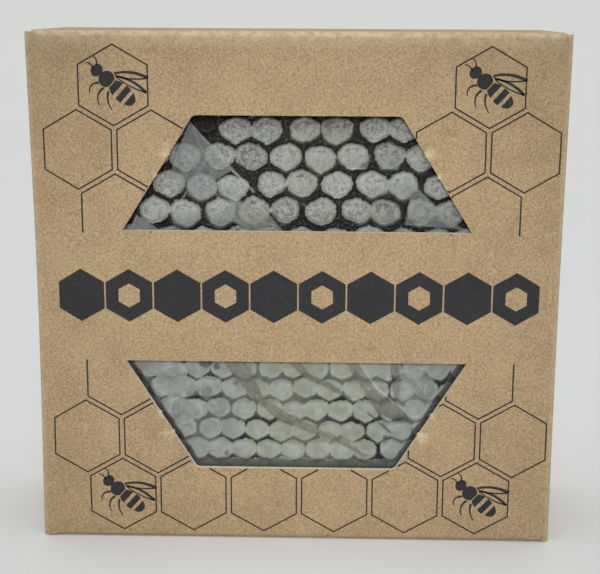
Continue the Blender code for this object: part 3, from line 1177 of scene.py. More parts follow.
def hexagon_tree() -> bpy.types.NodeTree:
    """A geometry tree that puts a solid or ring-shaped hexagon of ink on each point.

    Returns:
        A tree with Geometry, Radius, Hole, Ink Thickness and Ink inputs. Hole is a share of the radius.
    """
    inputs = {
        "Radius": ("NodeSocketFloat", 0.005),
        "Hole": ("NodeSocketFloat", 0.0),
        "Ink Thickness": ("NodeSocketFloat", 0.00003),
        "Ink": ("NodeSocketMaterial", None),
    }
    graph, given, result = geometry_tree("title_hexagons", inputs)
    radius, thickness = given.outputs["Radius"], given.outputs["Ink Thickness"]
    wide = {"Vertices": 6, "Radius": radius, "Depth": thickness}
    solid = graph.add("GeometryNodeMeshCylinder", wide, fill_type="NGON").outputs["Mesh"]
    inner = graph.math("MULTIPLY", radius, given.outputs["Hole"])
    deep = graph.math("MULTIPLY", thickness, 3.0)
    core = {"Vertices": 6, "Radius": inner, "Depth": deep}
    cutter = graph.add("GeometryNodeMeshCylinder", core, fill_type="NGON").outputs["Mesh"]
    cut = {"Mesh 1": solid, "Mesh 2": cutter}
    ring = graph.add("GeometryNodeMeshBoolean", cut, operation="DIFFERENCE").outputs[0]
    has_hole = graph.math("GREATER_THAN", given.outputs["Hole"], 0.01)
    chosen = graph.add("GeometryNodeSwitch", {"Switch": has_hole, "False": solid, "True": ring}).outputs[0]
    upright = (0.0, 0.0, math.radians(30))
    placed = {"Points": given.outputs["Geometry"], "Instance": chosen, "Rotation": upright}
    finish(graph, graph.add("GeometryNodeInstanceOnPoints", placed).outputs[0], given.outputs["Ink"], result)
    return graph.tree


def crumb_tree() -> bpy.types.NodeTree:
    """A geometry tree that scatters rough crumbs where a surface's "crumbs" attribute allows.

    Returns:
        A tree with Geometry, Density, Least Size, Greatest Size, Seed and Wax inputs.
    """
    inputs = {
        "Density": ("NodeSocketFloat", 1e6),
        "Least Size": ("NodeSocketFloat", 0.00004),
        "Greatest Size": ("NodeSocketFloat", 0.00014),
        "Seed": ("NodeSocketInt", SEED),
        "Wax": ("NodeSocketMaterial", None),
    }
    graph, given, result = geometry_tree("wax_crumbs", inputs)
    chance = graph.add("GeometryNodeInputNamedAttribute", {"Name": "crumbs"}, data_type="FLOAT").outputs[0]
    density = graph.math("MULTIPLY", chance, given.outputs["Density"])
    spread = {"Mesh": given.outputs["Geometry"], "Density": density, "Seed": given.outputs["Seed"]}
    points = graph.add("GeometryNodeDistributePointsOnFaces", spread, distribute_method="RANDOM").outputs[0]
    seed, sizes = given.outputs["Seed"], {2: given.outputs["Least Size"], 3: given.outputs["Greatest Size"]}
    size = graph.add("FunctionNodeRandomValue", {**sizes, "Seed": seed}, data_type="FLOAT").outputs[1]
    turns = {1: (6.28,) * 3, "Seed": seed}
    turn = graph.add("FunctionNodeRandomValue", turns, data_type="FLOAT_VECTOR").outputs[0]
    grain = graph.add("GeometryNodeMeshIcoSphere", {"Radius": 1.0, "Subdivisions": 1}).outputs["Mesh"]
    placed = {"Points": points, "Instance": grain, "Rotation": turn, "Scale": size}
    finish(graph, graph.add("GeometryNodeInstanceOnPoints", placed).outputs[0], given.outputs["Wax"], result)
    return graph.tree


def finish(graph: Graph, instances: object, material: object, result: bpy.types.Node) -> None:
    """Ends a geometry tree: real meshes instead of instances, and one material."""
    real = graph.add("GeometryNodeRealizeInstances", {0: instances}).outputs[0]
    dressed = graph.add("GeometryNodeSetMaterial", {"Geometry": real, "Material": material}).outputs[0]
    graph.tree.links.new(dressed, result.inputs[0])


# ------------------------------------------------------------------------------------------------- the comb


@dataclass(frozen=True)
class CellRows:
    """Rows of comb cells.

    Args:
        pitch: Distance between neighbours in a row.
        row_height: Distance between rows.
        origin: A cell's place, as (x, z).
        low: Lowest height that these rows fill.
        high: Highest.
        cap_radius: Radius of a capping.
        scatter: How far a cell strays from its place.
        depth: How deep the gaps between the cappings are.
        ring_share: How clearly a capping's sunken ring shows, from 0 to 1.
    """

    pitch: float
    row_height: float
    origin: tuple
    low: float
    high: float
    cap_radius: float
    scatter: float
    depth: float
    ring_share: float

    def centres(self, half_width: float, chance: np.random.Generator) -> np.ndarray:
        """The cells' places and radii.

        Args:
            half_width: Half the width to fill.
            chance: Source of the scatter.

        Returns:
            Rows of x, z, cap radius, depth, ring share.
        """
        made = []
        first = math.floor((self.low - self.origin[1]) / self.row_height)
        last = math.ceil((self.high - self.origin[1]) / self.row_height)
        across = math.ceil(half_width / self.pitch) + 1
        for row in range(first, last + 1):
            for column in range(-across, across + 1):
                x = self.origin[0] + self.pitch * (column + 0.5 * (row % 2))
                z = self.origin[1] + self.row_height * row
                dx, dz, swell = chance.normal(0, 1, 3) * (self.scatter, self.scatter * 0.8, 0.035)
                if self.low <= z <= self.high and abs(x) < half_width:
                    made.append((x + dx, z + dz, self.cap_radius * (1 + swell), self.depth, self.ring_share))
        return np.array(made)


@dataclass
class FrontGrid:
    """A grid over the front of the slab, fine behind the window and coarse elsewhere.

    Args:
        half_width: Half the slab's width.
        bottom: The slab's lowest point.
        top: Its highest point.
        fine: Distance between points behind the window.
        coarse: Distance elsewhere.
        window: The window.
    """

    half_width: float
    bottom: float
    top: float
    fine: float
    coarse: float
    window: HexWindow

    def __post_init__(self) -> None:
        """Works out the grid's lines."""
        reach = self.window.half_width(self.window.centre_z + self.window.band_half_height) + 3 * MM
        edge, band = self.window.half_height + 3 * MM, self.window.band_half_height - 3 * MM
        middle = self.window.centre_z
        stops = [(self.bottom, self.coarse), (middle - edge, self.fine), (middle - band, self.coarse)]
        stops += [(middle + band, self.fine), (middle + edge, self.coarse), (self.top, None)]
        across = [(-self.half_width, self.coarse), (-reach, self.fine)]
        self.columns = self._lines([*across, (reach, self.coarse), (self.half_width, None)])
        self.rows = self._lines(stops)
        self.x, self.z = np.meshgrid(self.columns, self.rows)

    def _lines(self, stops: list[tuple]) -> np.ndarray:
        """Evenly spaced lines between stops, each with its own spacing."""
        lines = [np.array([stops[0][0]])]
        for (start, spacing), (end, _) in zip(stops, stops[1:]):
            count = max(1, round((end - start) / spacing))
            lines.append(start + (end - start) * np.arange(1, count + 1) / count)
        return np.concatenate(lines)

    def closed_mesh(self, name: str, y: np.ndarray, back: float, draw_in: float) -> bpy.types.Mesh:
        """A closed block whose front follows the grid.

        Args:
            name: The mesh's name.
            y: The front's depth at each grid point.
            back: Depth of the block's back.
            draw_in: How far the back is smaller than the front on each side.

        Returns:
            The mesh. The front's points come first, row by row.
        """
        rows, columns = y.shape
        front = np.stack([self.x, y, self.z], axis=-1).reshape(-1, 3)
        number = np.arange(rows * columns).reshape(rows, columns)
        corners = [number[:-1, :-1], number[:-1, 1:], number[1:, 1:], number[1:, :-1]]
        quads = np.stack(corners, axis=-1).reshape(-1, 4)
        ring = np.concatenate([number[0, :-1], number[:-1, -1], number[-1, :0:-1], number[:0:-1, 0]])
        middle = np.array([0, 0, (self.bottom + self.top) / 2])
        layers, sides = [front], []
        previous = ring
        for share in (0.15, 0.5, 0.85, 1.0):
            shrink = 1 - draw_in / self.half_width if share == 1.0 else 1.0
            points = (front[ring] - middle) * (shrink, 1, shrink) + middle
            points[:, 1] = front[ring][:, 1] + (back - front[ring][:, 1]) * share
            start = sum(len(layer) for layer in layers)
            layers.append(points)
            following = start + np.arange(len(ring))
            corners = [previous, following, np.roll(following, -1), np.roll(previous, -1)]
            sides.append(np.stack(corners, axis=-1))
            previous = following
        mesh = bpy.data.meshes.new(name)
        faces = [*quads.tolist(), *np.concatenate(sides).tolist(), previous[::-1].tolist()]
        mesh.from_pydata(np.concatenate(layers).tolist(), [], faces)
        shape = bmesh.new()
        shape.from_mesh(mesh)
        bmesh.ops.recalc_face_normals(shape, faces=shape.faces)
        shape.to_mesh(mesh)
        shape.free()
        mesh.shade_smooth()
        return mesh


@dataclass
class CombSlab:
    """The slab of capped comb.

    Args:
        window: The carton's window.
        upper: The large cells of the upper part.
        lower: The small cells of the lower part.
        clearance: How far the slab stays inside its wrapping at the sides.
        face_foot: Depth of the cappings at the slab's foot.
        face_lean: How much further back they are at its top.
        open_cell: Place of the one cell that was left open.
        thickness: Thickness of the slab.
        painted_shadow_heights: Heights between which the cappings are painted darker, a painted shadow of the
            window's top edge.
    """

    window: HexWindow
    upper: CellRows = CellRows(
        pitch=7.06 * MM,
        row_height=5.80 * MM,
        origin=(-2.3 * MM, 72.1 * MM),
        low=55 * MM,
        high=104 * MM,
        cap_radius=2.86 * MM,
        scatter=0.34 * MM,
        depth=2.2 * MM,
        ring_share=1.0,
    )
    lower: CellRows = CellRows(
        pitch=5.2 * MM,
        row_height=4.52 * MM,
        origin=(-0.6 * MM, 20.2 * MM),
        low=2 * MM,
        high=53 * MM,
        cap_radius=2.34 * MM,
        scatter=0.26 * MM,
        depth=1.0 * MM,
        ring_share=0.15,
    )
    clearance: float = 0.9 * MM
    face_foot: float = -16.1 * MM
    face_lean: float = 2.7 * MM
    open_cell: tuple = (-19.2 * MM, 89.6 * MM)
    thickness: float = 28.0 * MM
    painted_shadow_heights: tuple = (85 * MM, 91 * MM)

    def __post_init__(self) -> None:
        """Takes the slab's size from its CAD solid, and lays out its cells."""
        low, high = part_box("wrapped_comb")
        inset = self.clearance
        self.grid = FrontGrid(high.x - inset, low.z + inset, high.z - inset, 0.27 * MM, 1.6 * MM, self.window)
        chance = np.random.default_rng(SEED)
        fields = [rows.centres(high.x, chance) for rows in (self.upper, self.lower)]
        self.cells = np.concatenate(fields)
        count = len(self.cells)
        self.tone = chance.uniform(0, 1, count)
        self.ringed = chance.uniform(0, 1, count) ** 0.7
        self.phases = chance.uniform(0, 2 * np.pi, (count, 6))
        self.ripple = chance.uniform(0.3, 1.6, (count, 6)) * (0.035, 0.035, 0.022, 0.016, 0.014, 0.012)
        away = np.hypot(self.cells[:, 0] - self.open_cell[0], self.cells[:, 1] - self.open_cell[1])
        self.open = away == away.min()
        self._measure()

    def plane(self, z: np.ndarray) -> np.ndarray:
        """Depth of the cappings' general level at a height."""
        low, high = self.grid.bottom, self.grid.top
        return self.face_foot + self.face_lean * (z - low) / (high - low)

    def _measure(self) -> None:
        """Works out, for each grid point, how high the wax stands and what kind of surface it is."""
        x, z = self.grid.x.ravel(), self.grid.z.ravel()
        near, second = np.empty(len(x), int), np.empty(len(x))
        first = np.empty(len(x))
        for start in range(0, len(x), 8192):
            part = slice(start, start + 8192)
            away = np.hypot(x[part, None] - self.cells[:, 0], (z[part, None] - self.cells[:, 1]) * 1.04)
            order = np.argpartition(away, 1, axis=1)[:, :2]
            pair = np.take_along_axis(away, order, axis=1)
            swap = pair[:, 0] > pair[:, 1]
            near[part] = np.where(swap, order[:, 1], order[:, 0])
            first[part], second[part] = pair.min(axis=1), pair.max(axis=1)
        dx, dz = x - self.cells[near, 0], z - self.cells[near, 1] + 0.25 * MM
        angle, reach = np.arctan2(dz, dx), np.hypot(dx, dz * 1.12)
        radius = self.cells[near, 2] * (1 + 0.02 * np.cos(6 * angle - np.pi))
        for i, waves in enumerate((2, 3, 5, 9, 14, 23)):
            radius = radius * (1 + self.ripple[near, i] * np.sin(waves * angle + self.phases[near, i]))
        down, aside = np.clip(-dz / (reach + 1e-9), 0, 1), np.abs(dx) / (reach + 1e-9)
        share = reach / (radius * (1 - 0.09 * np.clip(dz / (reach + 1e-9), 0, 1) ** 2))
        shut = ~self.open[near]
        cap = smoothstep(1.05, 0.93, share) * shut
        web = smoothstep(1.06, 0.94, share / (1.04 + 0.30 * down**2 + 0.13 * aside**6)) * (1 - cap) * shut
        large = self.cells[near, 4]
        ringed = self.ringed[near] * large
        dome = 0.32 * MM * (1 - share**2) - 0.16 * MM * ringed * np.exp(-(((share - 0.64) / 0.15) ** 2))
        dome -= 0.10 * MM * np.exp(-((share / 0.28) ** 2))
        tilt = -0.22 * MM * np.clip(dz / radius, -1.2, 1.2)
        depth = self.cells[near, 3]
        wall = smoothstep(0.45 * MM, 0.06 * MM, second - first)
        floor = -depth * (1 - 0.12 * wall)
        floor = floor * (1 - web) - 0.35 * MM * web
        floor = np.where(shut, floor, -2.6 * depth * smoothstep(1.18, 0.95, share) - depth * 0.6)
        self.height = (floor * (1 - cap) + (dome + tilt) * cap).reshape(self.grid.x.shape)
        rim = np.exp(-(((share - 0.97) / 0.09) ** 2)) * shut
        rim = np.clip(np.maximum(rim * (0.25 + 0.6 * np.maximum(down, aside**2)), 0.55 * web), 0, 1)
        ring = 0.12 * np.exp(-(((share - 0.84) / 0.12) ** 2)) - 0.20 * np.exp(-(((share - 0.62) / 0.16) ** 2))
        # The tone holds each cell's own tone, the capping's ring and a painted shadow under the window's top
        # edge.
        tone = 0.25 + 0.5 * self.tone[near] + ring * ringed - 0.30 * smoothstep(*self.painted_shadow_heights, z)
        tone = np.clip(tone, -0.3, 1)
        self.masks = np.column_stack([np.maximum(cap, web), rim, tone, wall * (1 - cap) * (1 - web)])
        self.gap = (1 - cap) * (1 - web)
        self.share = share.reshape(self.grid.x.shape)
        self.drop = dz.reshape(self.grid.x.shape)
        self.overhead = np.clip(dz / (reach + 1e-9), 0, 1).reshape(self.grid.x.shape)

    def build(self, wax: Wax) -> bpy.types.Object:
        """Builds the slab and dresses it.

        Args:
            wax: The comb's finish.

        Returns:
            The finished piece.
        """
        y = self.plane(self.grid.z) - self.height
        mesh = self.grid.closed_mesh("comb_slab", y, self.face_foot + self.thickness, 1.0 * MM)
        count, front = len(mesh.vertices), len(self.masks)
        masks = np.zeros((count, 4))
        masks[:, 0], masks[:, 2] = 1, 0.4
        masks[:front] = self.masks
        mesh.attributes.new("comb", "FLOAT_COLOR", "POINT").data.foreach_set("color", masks.ravel())
        crumbs = np.zeros(count)
        crumbs[:front] = self.gap * self._in_view().ravel()
        mesh.attributes.new("crumbs", "FLOAT", "POINT").data.foreach_set("value", crumbs)
        piece = mesh_object("comb_slab", mesh, [wax.comb()])
        self.scatter_crumbs(piece, wax)
        return ride_and_slot(piece, "comb_wax")

    def _in_view(self) -> np.ndarray:
        """Where the grid lies behind the upper half of the window, with a margin."""
        rise = self.grid.z - self.window.centre_z
        inside = (rise > self.window.band_half_height - 2 * MM) & (rise < self.window.half_height + 2 * MM)
        return inside & (abs(self.grid.x) < self.window.half_width(self.grid.z) + 2 * MM)

    def scatter_crumbs(self, slab: bpy.types.Object, wax: Wax) -> bpy.types.Object:
        """Loose white crumbs in the gaps between the cappings."""
        seed = bpy.data.objects.new("crumb_bed", slab.data)
        bpy.context.scene.collection.objects.link(seed)
        values = {"Density": 1.1e6, "Least Size": 0.03 * MM, "Greatest Size": 0.10 * MM, "Seed": SEED}
        piece = grown(seed, crumb_tree(), {**values, "Wax": wax.crumb()}, "wax_crumbs")
        return ride_and_slot(piece, "comb_wax")


# ------------------------------------------------------------------------------------------------- the film


@dataclass(frozen=True)
class FilmFold:
    """A crease or an overlap in the film, along a few points.

    Args:
        route: Points as (x, z) in millimetres, with the width there as the third number.
        haze: How milky it is.
        fold: How brown it is, from 0 to 1.
        glint: How bright the painted highlight along its edges is, from 0 to 1.
        edge_shade: How much painted shade darkens its edges, from 0 to 1.
    """

    route: tuple
    haze: float
    fold: float = 0.0
    glint: float = 0.0
    edge_shade: float = 0.0

    def masks(self, x: np.ndarray, z: np.ndarray) -> tuple[np.ndarray, np.ndarray]:
        """Where the fold lies and where its edges are.

        Args:
            x: Places across the slab.
            z: Heights.

        Returns:
            A mask of its area, and one of its outline.
        """
        inside = np.full(x.shape, 1e3)
        for (ax, az, aw), (bx, bz, bw) in zip(self.route, self.route[1:]):
            run = np.array([bx - ax, bz - az])
            px, pz = x / MM - ax, z / MM - az
            share = np.clip((px * run[0] + pz * run[1]) / (run @ run), 0, 1)
            away = np.hypot(px - share * run[0], pz - share * run[1])
            inside = np.minimum(inside, away - (aw + (bw - aw) * share) / 2)
        return smoothstep(0.12, -0.12, inside), np.exp(-((inside / 0.16) ** 2))


@dataclass(frozen=True)
class FilmFacet:
    """A flat, milky facet of the film between creases.

    Args:
        corners: Its corners as (x, z) in millimetres, in order.
        haze: How milky it is.
        glint: How bright the painted highlight along its edges is.
    """

    corners: tuple
    haze: float
    glint: float = 0.25

    def masks(self, x: np.ndarray, z: np.ndarray) -> tuple[np.ndarray, np.ndarray]:
        """Where the facet lies and where its edges are."""
        centre = np.mean(self.corners, axis=0)
        inside = np.full(x.shape, -1e3)
        for (ax, az), (bx, bz) in zip(self.corners, [*self.corners[1:], self.corners[0]]):
            normal = np.array([bz - az, ax - bx]) / math.hypot(bx - ax, bz - az)
            if normal @ (centre - (ax, az)) > 0:
                normal = -normal
            inside = np.maximum(inside, (x / MM - ax) * normal[0] + (z / MM - az) * normal[1])
        return smoothstep(0.15, -0.15, inside), np.exp(-((inside / 0.14) ** 2))


@dataclass(frozen=True)
class FilmPatch:
    """A round or oval patch of the film, such as a bubble, a spot where it is clear or a spot of painted shade.

    Args:
        centre: Its middle as (x, z) in millimetres.
        radii: Half its width and half its height in millimetres.
        haze: How milky it is.
        glint: How bright the painted highlight on its outline is.
        shade: How much painted shade darkens it.
    """

    centre: tuple
    radii: tuple
    haze: float
    glint: float = 0.0
    shade: float = 0.0

    def masks(self, x: np.ndarray, z: np.ndarray) -> tuple[np.ndarray, np.ndarray]:
        """Where the patch lies and where its outline is."""
        px, pz = x / MM - self.centre[0], z / MM - self.centre[1]
        turn = np.arctan2(pz, px)
        wobble = 1 + 0.07 * np.sin(3 * turn + self.centre[0]) + 0.05 * np.sin(5 * turn + self.centre[1])
        share = np.hypot(px / self.radii[0], pz / self.radii[1]) / wobble
        inside = (share - 1) * min(self.radii)
        return smoothstep(0.22, -0.22, inside), np.exp(-((inside / 0.16) ** 2))


@dataclass
class Wrapping:
    """The clear bag round the slab: loose over the upper cells, clinging to the lower ones.

    Args:
        slab: The comb in the bag.
        slack: How far the film stands off the cappings in the upper part.
        folds: Overlaps and creases, first those of the lower part and then those of the upper one.
        facets: Milky facets of the upper part.
        patches: Bubbles, clear spots and spots of painted shade in the lower part.
    """

    slab: CombSlab
    slack: float = 0.35 * MM
    folds: tuple = (
        FilmFold(((-14.5, 41.0, 3.6), (-11.4, 36.5, 3.6), (-8.4, 32.0, 2.0), (-6.9, 30.0, 1.2)),
                 0.58, 0.75, 0, 0.25),
        FilmFold(((-8.4, 31.6, 1.0), (-3.2, 27.6, 2.4), (4.0, 24.4, 1.3), (10.0, 21.8, 0.9), (15.0, 18.8, 0.5)),
                 0.60, 0.70, 0, 0.35),
        FilmFold(((-1.5, 40.5, 1.8), (2.5, 36.4, 1.2), (6.5, 34.6, 0.9), (11.5, 31.6, 0.5)),
                 0.60, 0.75, 0, 0.4),
        FilmFold(((11.0, 41.0, 2.2), (13.6, 36.8, 2.4), (16.4, 33.0, 2.2)), 0.50, 0.6, 0, 0.3),
        FilmFold(((15.6, 33.0, 1.8), (18.8, 29.8, 3.6), (22.6, 27.6, 2.6)), 0.55, 0.85, 0, 0.3),
        FilmFold(((20.6, 40.8, 1.0), (21.4, 35.8, 1.7), (21.6, 31.6, 0.7)), 0.50, 0.75, 0, 0.4),
        FilmFold(((12.6, 40.8, 0.1), (17.2, 34.0, 0.16), (20.8, 30.9, 0.1)), 0.6, 0.2, 0.5, 0.3),
        FilmFold(((15.4, 28.4, 0.1), (18.2, 26.0, 0.3), (20.4, 24.0, 0.1)), 0.5, 0.3, 0, 0.9),
        FilmFold(((-21.9, 89.7, 0.1), (-13.2, 80.2, 0.16), (-9.0, 76.0, 0.08)), 0.30, 0, 0.45),
        FilmFold(((-24.0, 85.0, 0.08), (-15.4, 73.4, 0.12)), 0.2, 0, 0.3),
        FilmFold(((-25.0, 72.7, 0.08), (-18.9, 82.6, 0.12), (-21.9, 89.7, 0.06)), 0.25, 0, 0.3),
        FilmFold(((-9.4, 75.0, 0.1), (-3.2, 67.8, 0.14)), 0.3, 0, 0.4),
        FilmFold(((22.4, 79.4, 0.1), (28.6, 73.0, 0.16), (33.6, 70.6, 0.1)), 0.3, 0, 0.35),
    )
    facets: tuple = (
        FilmFacet(((-22.2, 90.2), (-13.6, 80.6), (-20.6, 76.0), (-25.6, 82.2)), 0.34),
        FilmFacet(((-24.6, 84.6), (-17.6, 80.4), (-21.6, 76.2), (-26.6, 78.4)), 0.30),
        FilmFacet(((-33.6, 70.8), (-28.2, 67.4), (-35.0, 67.4)), 0.55, 0.5),
        FilmFacet(((-13.6, 75.4), (-5.0, 68.4), (-8.6, 67.2), (-15.0, 70.6)), 0.40),
        FilmFacet(((-8.4, 73.2), (-3.6, 68.4), (-7.6, 69.8)), 0.42),
        FilmFacet(((24.0, 77.6), (34.2, 68.6), (22.6, 69.4)), 0.36),
        FilmFacet(((9.3, 83.9), (15.3, 83.9), (14.3, 80.9), (10.2, 80.9)), 0.30, 0.10),
        FilmFacet(((16.0, 83.6), (22.0, 83.6), (20.8, 80.8), (17.2, 80.8)), 0.30, 0.10),
        FilmFacet(((0.6, 73.6), (7.8, 72.2), (7.0, 70.2)), 0.20, 0.12),
    )
    patches: tuple = (
        FilmPatch((-26.6, 34.7), (3.6, 3.7), 0.60, 0.32),
        FilmPatch((-24.0, 28.5), (3.4, 2.7), 0.58, 0.26),
        FilmPatch((-31.0, 38.6), (3.6, 2.4), 0.60, 0.20),
        FilmPatch((25.4, 33.4), (4.3, 5.2), 0.42, 0.40),
        FilmPatch((24.6, 36.8), (2.4, 2.0), 0.58, 0.12),
        FilmPatch((-22.3, 32.9), (1.5, 1.2), 0.40, 0.0, 0.45),
        FilmPatch((-19.2, 32.4), (1.2, 1.5), 0.45, 0.12, 0.45),
        FilmPatch((-19.5, 38.9), (1.5, 0.9), 0.55, 0.0, 0.9),
        FilmPatch((-17.0, 38.3), (0.7, 0.8), 0.55, 0.0, 0.9),
        FilmPatch((-13.0, 34.6), (0.5, 0.4), 0.6, 0.0, 0.9),
        FilmPatch((20.9, 36.0), (0.5, 0.8), 0.6, 0.0, 0.95),
        FilmPatch((21.8, 27.2), (1.3, 0.9), 0.5, 0.0, 0.8),
        FilmPatch((19.4, 22.5), (0.6, 1.0), 0.5, 0.0, 0.8),
        FilmPatch((-15.0, 18.9), (0.4, 0.6), 0.5, 0.0, 0.9),
        FilmPatch((-6.6, 29.9), (0.55, 0.55), 0.35, 0.6, 0.3),
    )

    def __post_init__(self) -> None:
        """Works out the film's depth and its masks."""
        slab, grid = self.slab, self.slab.grid
        x, z = grid.x, grid.z
        lower = smoothstep(60 * MM, 50 * MM, z)
        proud = slab.height + 0.12 * MM
        envelope = blurred(np.maximum(proud, -0.5 * MM), 5) + 0.25 * MM
        loose = 0.5 * MM + 0.3 * MM * np.sin(210 * x + 120 * z) * np.sin(95 * z - 40 * x + 0.6)
        rise = np.where(lower > 0.5, np.maximum(envelope * 0.55 + 0.12 * MM, proud * 0.5), loose + self.slack)
        cap = slab.masks[:, 0].reshape(x.shape)
        gap = slab.gap.reshape(x.shape)
        contact = blurred(((cap > 0.5) & (slab.drop < 0.25 * MM)).astype(float), 0.8) * self._touching(x, z)
        rims = np.exp(-(((slab.share - 1.0) / 0.08) ** 2))
        below = smoothstep(0.3 * MM, -0.8 * MM, slab.drop)
        clinging = 0.58 - 0.56 * blurred(gap, 0.5) * (0.55 + 0.45 * self._touching(z, x))
        haze = (1 - lower) * (0.012 + 0.34 * contact) + lower * clinging
        # Painted shade: dark crescents on the film just above the lower cappings.
        painted_crescent_shade = lower * smoothstep(0.45, 0.85, slab.overhead) * np.exp(-(((slab.share - 0.99) / 0.13) ** 2))
        painted_crescent_shade = painted_crescent_shade * smoothstep(0.25, 0.55, slab.masks[:, 2].reshape(x.shape))
        fold, shade = np.zeros(x.shape), 0.62 * painted_crescent_shade
        # Painted highlight along the lower cappings' rims, stronger on their lower sides.
        glint = 0.24 * rims * lower * (0.35 + 0.65 * below)
        # Patches: bubbles with painted highlights on their outlines, clear spots and spots of painted shade.
        for item in self.patches:
            area, edge = item.masks(x, z)
            haze = haze * (1 - area) + item.haze * area
            glint = np.maximum(glint * (1 - 0.6 * area), item.glint * edge)
            shade = np.maximum(shade * (1 - area), item.shade * area)
        # Folds: brownish overlaps, with painted highlights and painted shade along their edges.
        for item in self.folds:
            area, edge = item.masks(x, z)
            haze = haze * (1 - area) + item.haze * area
            fold = np.maximum(fold * (1 - area), item.fold * area)
            glint = np.maximum(glint * (1 - area), item.glint * edge)
            shade = np.maximum(shade, item.edge_shade * edge)
            rise = rise + 0.25 * MM * area
        # Facets: milky patches of the upper film, with painted highlights along their edges.
        for item in self.facets:
            area, edge = item.masks(x, z)
            haze = np.maximum(haze, item.haze * area + haze * (1 - area))
            glint = np.maximum(glint, item.glint * edge)
            rise = rise * (1 - 0.5 * area) + 0.55 * MM * 0.5 * area
        # Painted shadow in a margin along the lower window's slanted and bottom edges: milkier, dark and without
        # highlights.
        margin = self._painted_margin_shadow(x, z)
        haze = haze * (1 - margin) + 0.72 * margin
        shade = np.maximum(shade, (0.88 + 0.10 * (z > 19 * MM)) * margin)
        glint = glint * (1 - 0.8 * margin)
        self.y = slab.plane(z) - np.maximum(rise, slab.height + 0.05 * MM) - 0.05 * MM
        self.masks = np.stack([haze, fold, glint, shade], axis=-1).reshape(-1, 4)

    def _touching(self, x: np.ndarray, z: np.ndarray) -> np.ndarray:
        """Broad areas where the film touches the wax."""
        waves = np.sin(165 * x + 1.2) * np.sin(230 * z + 0.9) + 0.6 * np.sin(320 * x - 150 * z)
        return smoothstep(-0.35, 0.45, waves)

    def _painted_margin_shadow(self, x: np.ndarray, z: np.ndarray) -> np.ndarray:
        """The margin of painted shadow on the film behind the lower window's slanted and bottom edges."""
        window = self.slab.window
        bottom = z - (window.centre_z - window.half_height)
        side = (window.half_width(z) - abs(x)) * math.cos(window.side_angle)
        wobble = 0.12 * MM * np.sin(700 * x + 500 * z) + 0.10 * MM * np.sin(1500 * x - 900 * z)
        nearest = np.minimum(bottom - 0.55 * MM, side + 0.1 * MM)
        return smoothstep(1.25 * MM, 0.85 * MM, nearest + wobble) * (z < window.centre_z)

    def build(self, film: ClearFilm) -> bpy.types.Object:
        """Builds the bag and dresses it.

        Args:
            film: The film's finish.

        Returns:
            The finished piece.
        """
        low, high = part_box("wrapped_comb")
        mesh = self.slab.grid.closed_mesh("clear_bag", self.y, high.y - 0.2 * MM, 0.5 * MM)
        masks = np.zeros((len(mesh.vertices), 4))
        masks[:, 0] = 0.15
        masks[: len(self.masks)] = self.masks
        mesh.attributes.new("film", "FLOAT_COLOR", "POINT").data.foreach_set("color", masks.ravel())
        piece = mesh_object("clear_bag", mesh, [film.sheet()])
        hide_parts("wrapped_comb")
        return ride_and_slot(piece, "clear_film")


# ----------------------------------------------------------------------------------------------- the studio


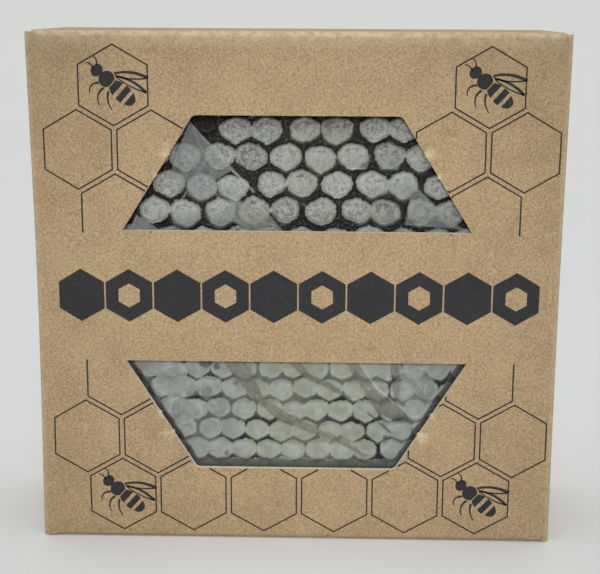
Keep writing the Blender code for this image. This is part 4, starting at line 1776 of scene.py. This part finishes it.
@dataclass
class Studio:
    """The floor, the light and the camera.

    Args:
        floor_radius: Radius of the round floor.
        overhead_strength: Strength of the light from straight above.
        spot_place: Where the light on the front stands.
        spot_aim: What it points at.
        spot_angle: Its whole cone, in degrees.
        spot_watts: Its power.
        sky: Colour of the surround.
        sky_strength: Its strength.
        camera_place: Where the camera stands.
        camera_turn: Its turn away from looking level along +Y, about x, y and z, in degrees.
        lens: Focal length for a sensor 36 mm wide, in millimetres.
    """

    floor_radius: float = 4.0
    overhead_strength: float = 0.60
    spot_place: tuple = (10 * MM, -280 * MM, 150 * MM)
    spot_aim: tuple = (0, -18 * MM, 50 * MM)
    spot_angle: float = 38.0
    spot_watts: float = 1.30
    sky: tuple = (0.96, 0.985, 0.955, 1)
    sky_strength: float = 0.69
    camera_place: tuple = (6.27 * MM, -272.63 * MM, 113.33 * MM)
    camera_turn: tuple = (-12.59, -0.32, 1.31)
    lens: float = 74.92

    def add_floor(self, paper: StudioPaper) -> None:
        """A large round floor."""
        shape = bmesh.new()
        bmesh.ops.create_circle(shape, cap_ends=True, segments=96, radius=self.floor_radius)
        mesh = bpy.data.meshes.new("floor")
        shape.to_mesh(mesh)
        shape.free()
        mesh.transform(Matrix.Translation((0, 0, -0.02 * MM)))
        mesh_object("floor", mesh, [paper.paper()])

    def add_overhead(self) -> None:
        """Even, very soft light from straight above."""
        data = bpy.data.lights.new("overhead", "SUN")
        data.energy, data.angle = self.overhead_strength, math.radians(40)
        bpy.context.scene.collection.objects.link(bpy.data.objects.new("overhead", data))

    def add_spot(self) -> None:
        """A soft-edged light on the middle of the front."""
        data = bpy.data.lights.new("front", "SPOT")
        data.spot_size, data.spot_blend = math.radians(self.spot_angle), 1.0
        data.shadow_soft_size, data.energy = 22 * MM, self.spot_watts
        lamp = bpy.data.objects.new("front", data)
        lamp.location = self.spot_place
        aim = Vector(self.spot_aim) - lamp.location
        lamp.rotation_euler = aim.to_track_quat("-Z", "Y").to_euler()
        bpy.context.scene.collection.objects.link(lamp)

    def add_world(self) -> None:
        """An even pale surround."""
        world = bpy.data.worlds.new("surround")
        world.use_nodes = True
        background = world.node_tree.nodes["Background"]
        background.inputs["Color"].default_value = self.sky
        background.inputs["Strength"].default_value = self.sky_strength
        bpy.context.scene.world = world

    def add_camera(self) -> None:
        """The camera, from above the carton's middle and a little to the right."""
        data = bpy.data.cameras.new("camera")
        data.sensor_width, data.lens = 36.0, self.lens
        data.clip_start, data.clip_end = 0.01, 20.0
        camera = bpy.data.objects.new("camera", data)
        turn = Euler([math.radians(a) for a in self.camera_turn]).to_matrix()
        level = Euler((math.pi / 2, 0, 0)).to_matrix()
        camera.matrix_world = Matrix.Translation(self.camera_place) @ (turn @ level).to_4x4()
        bpy.context.scene.collection.objects.link(camera)
        bpy.context.scene.camera = camera

    def build(self, paper: StudioPaper) -> None:
        """Sets up the whole studio."""
        self.add_floor(paper)
        self.add_world()
        self.add_overhead()
        self.add_spot()
        self.add_camera()
        bpy.context.scene.view_settings.view_transform = "Standard"


# ------------------------------------------------------------------------------------------------- assembly


def main() -> None:
    """Builds every piece in order."""
    logging.basicConfig(level=logging.INFO, format="%(name)s %(message)s")
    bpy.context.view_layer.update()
    shared = (speckle_group(), fibre_group())
    window = HexWindow()
    carton = Carton(window)
    carton.build(Kraft(*shared))
    FrontPrint(window, carton).build(Ink(*shared))
    slab = CombSlab(window)
    slab.build(Wax(*shared))
    Wrapping(slab).build(ClearFilm(*shared))
    Studio().build(StudioPaper(*shared))


if __name__ == "__main__":
    main()
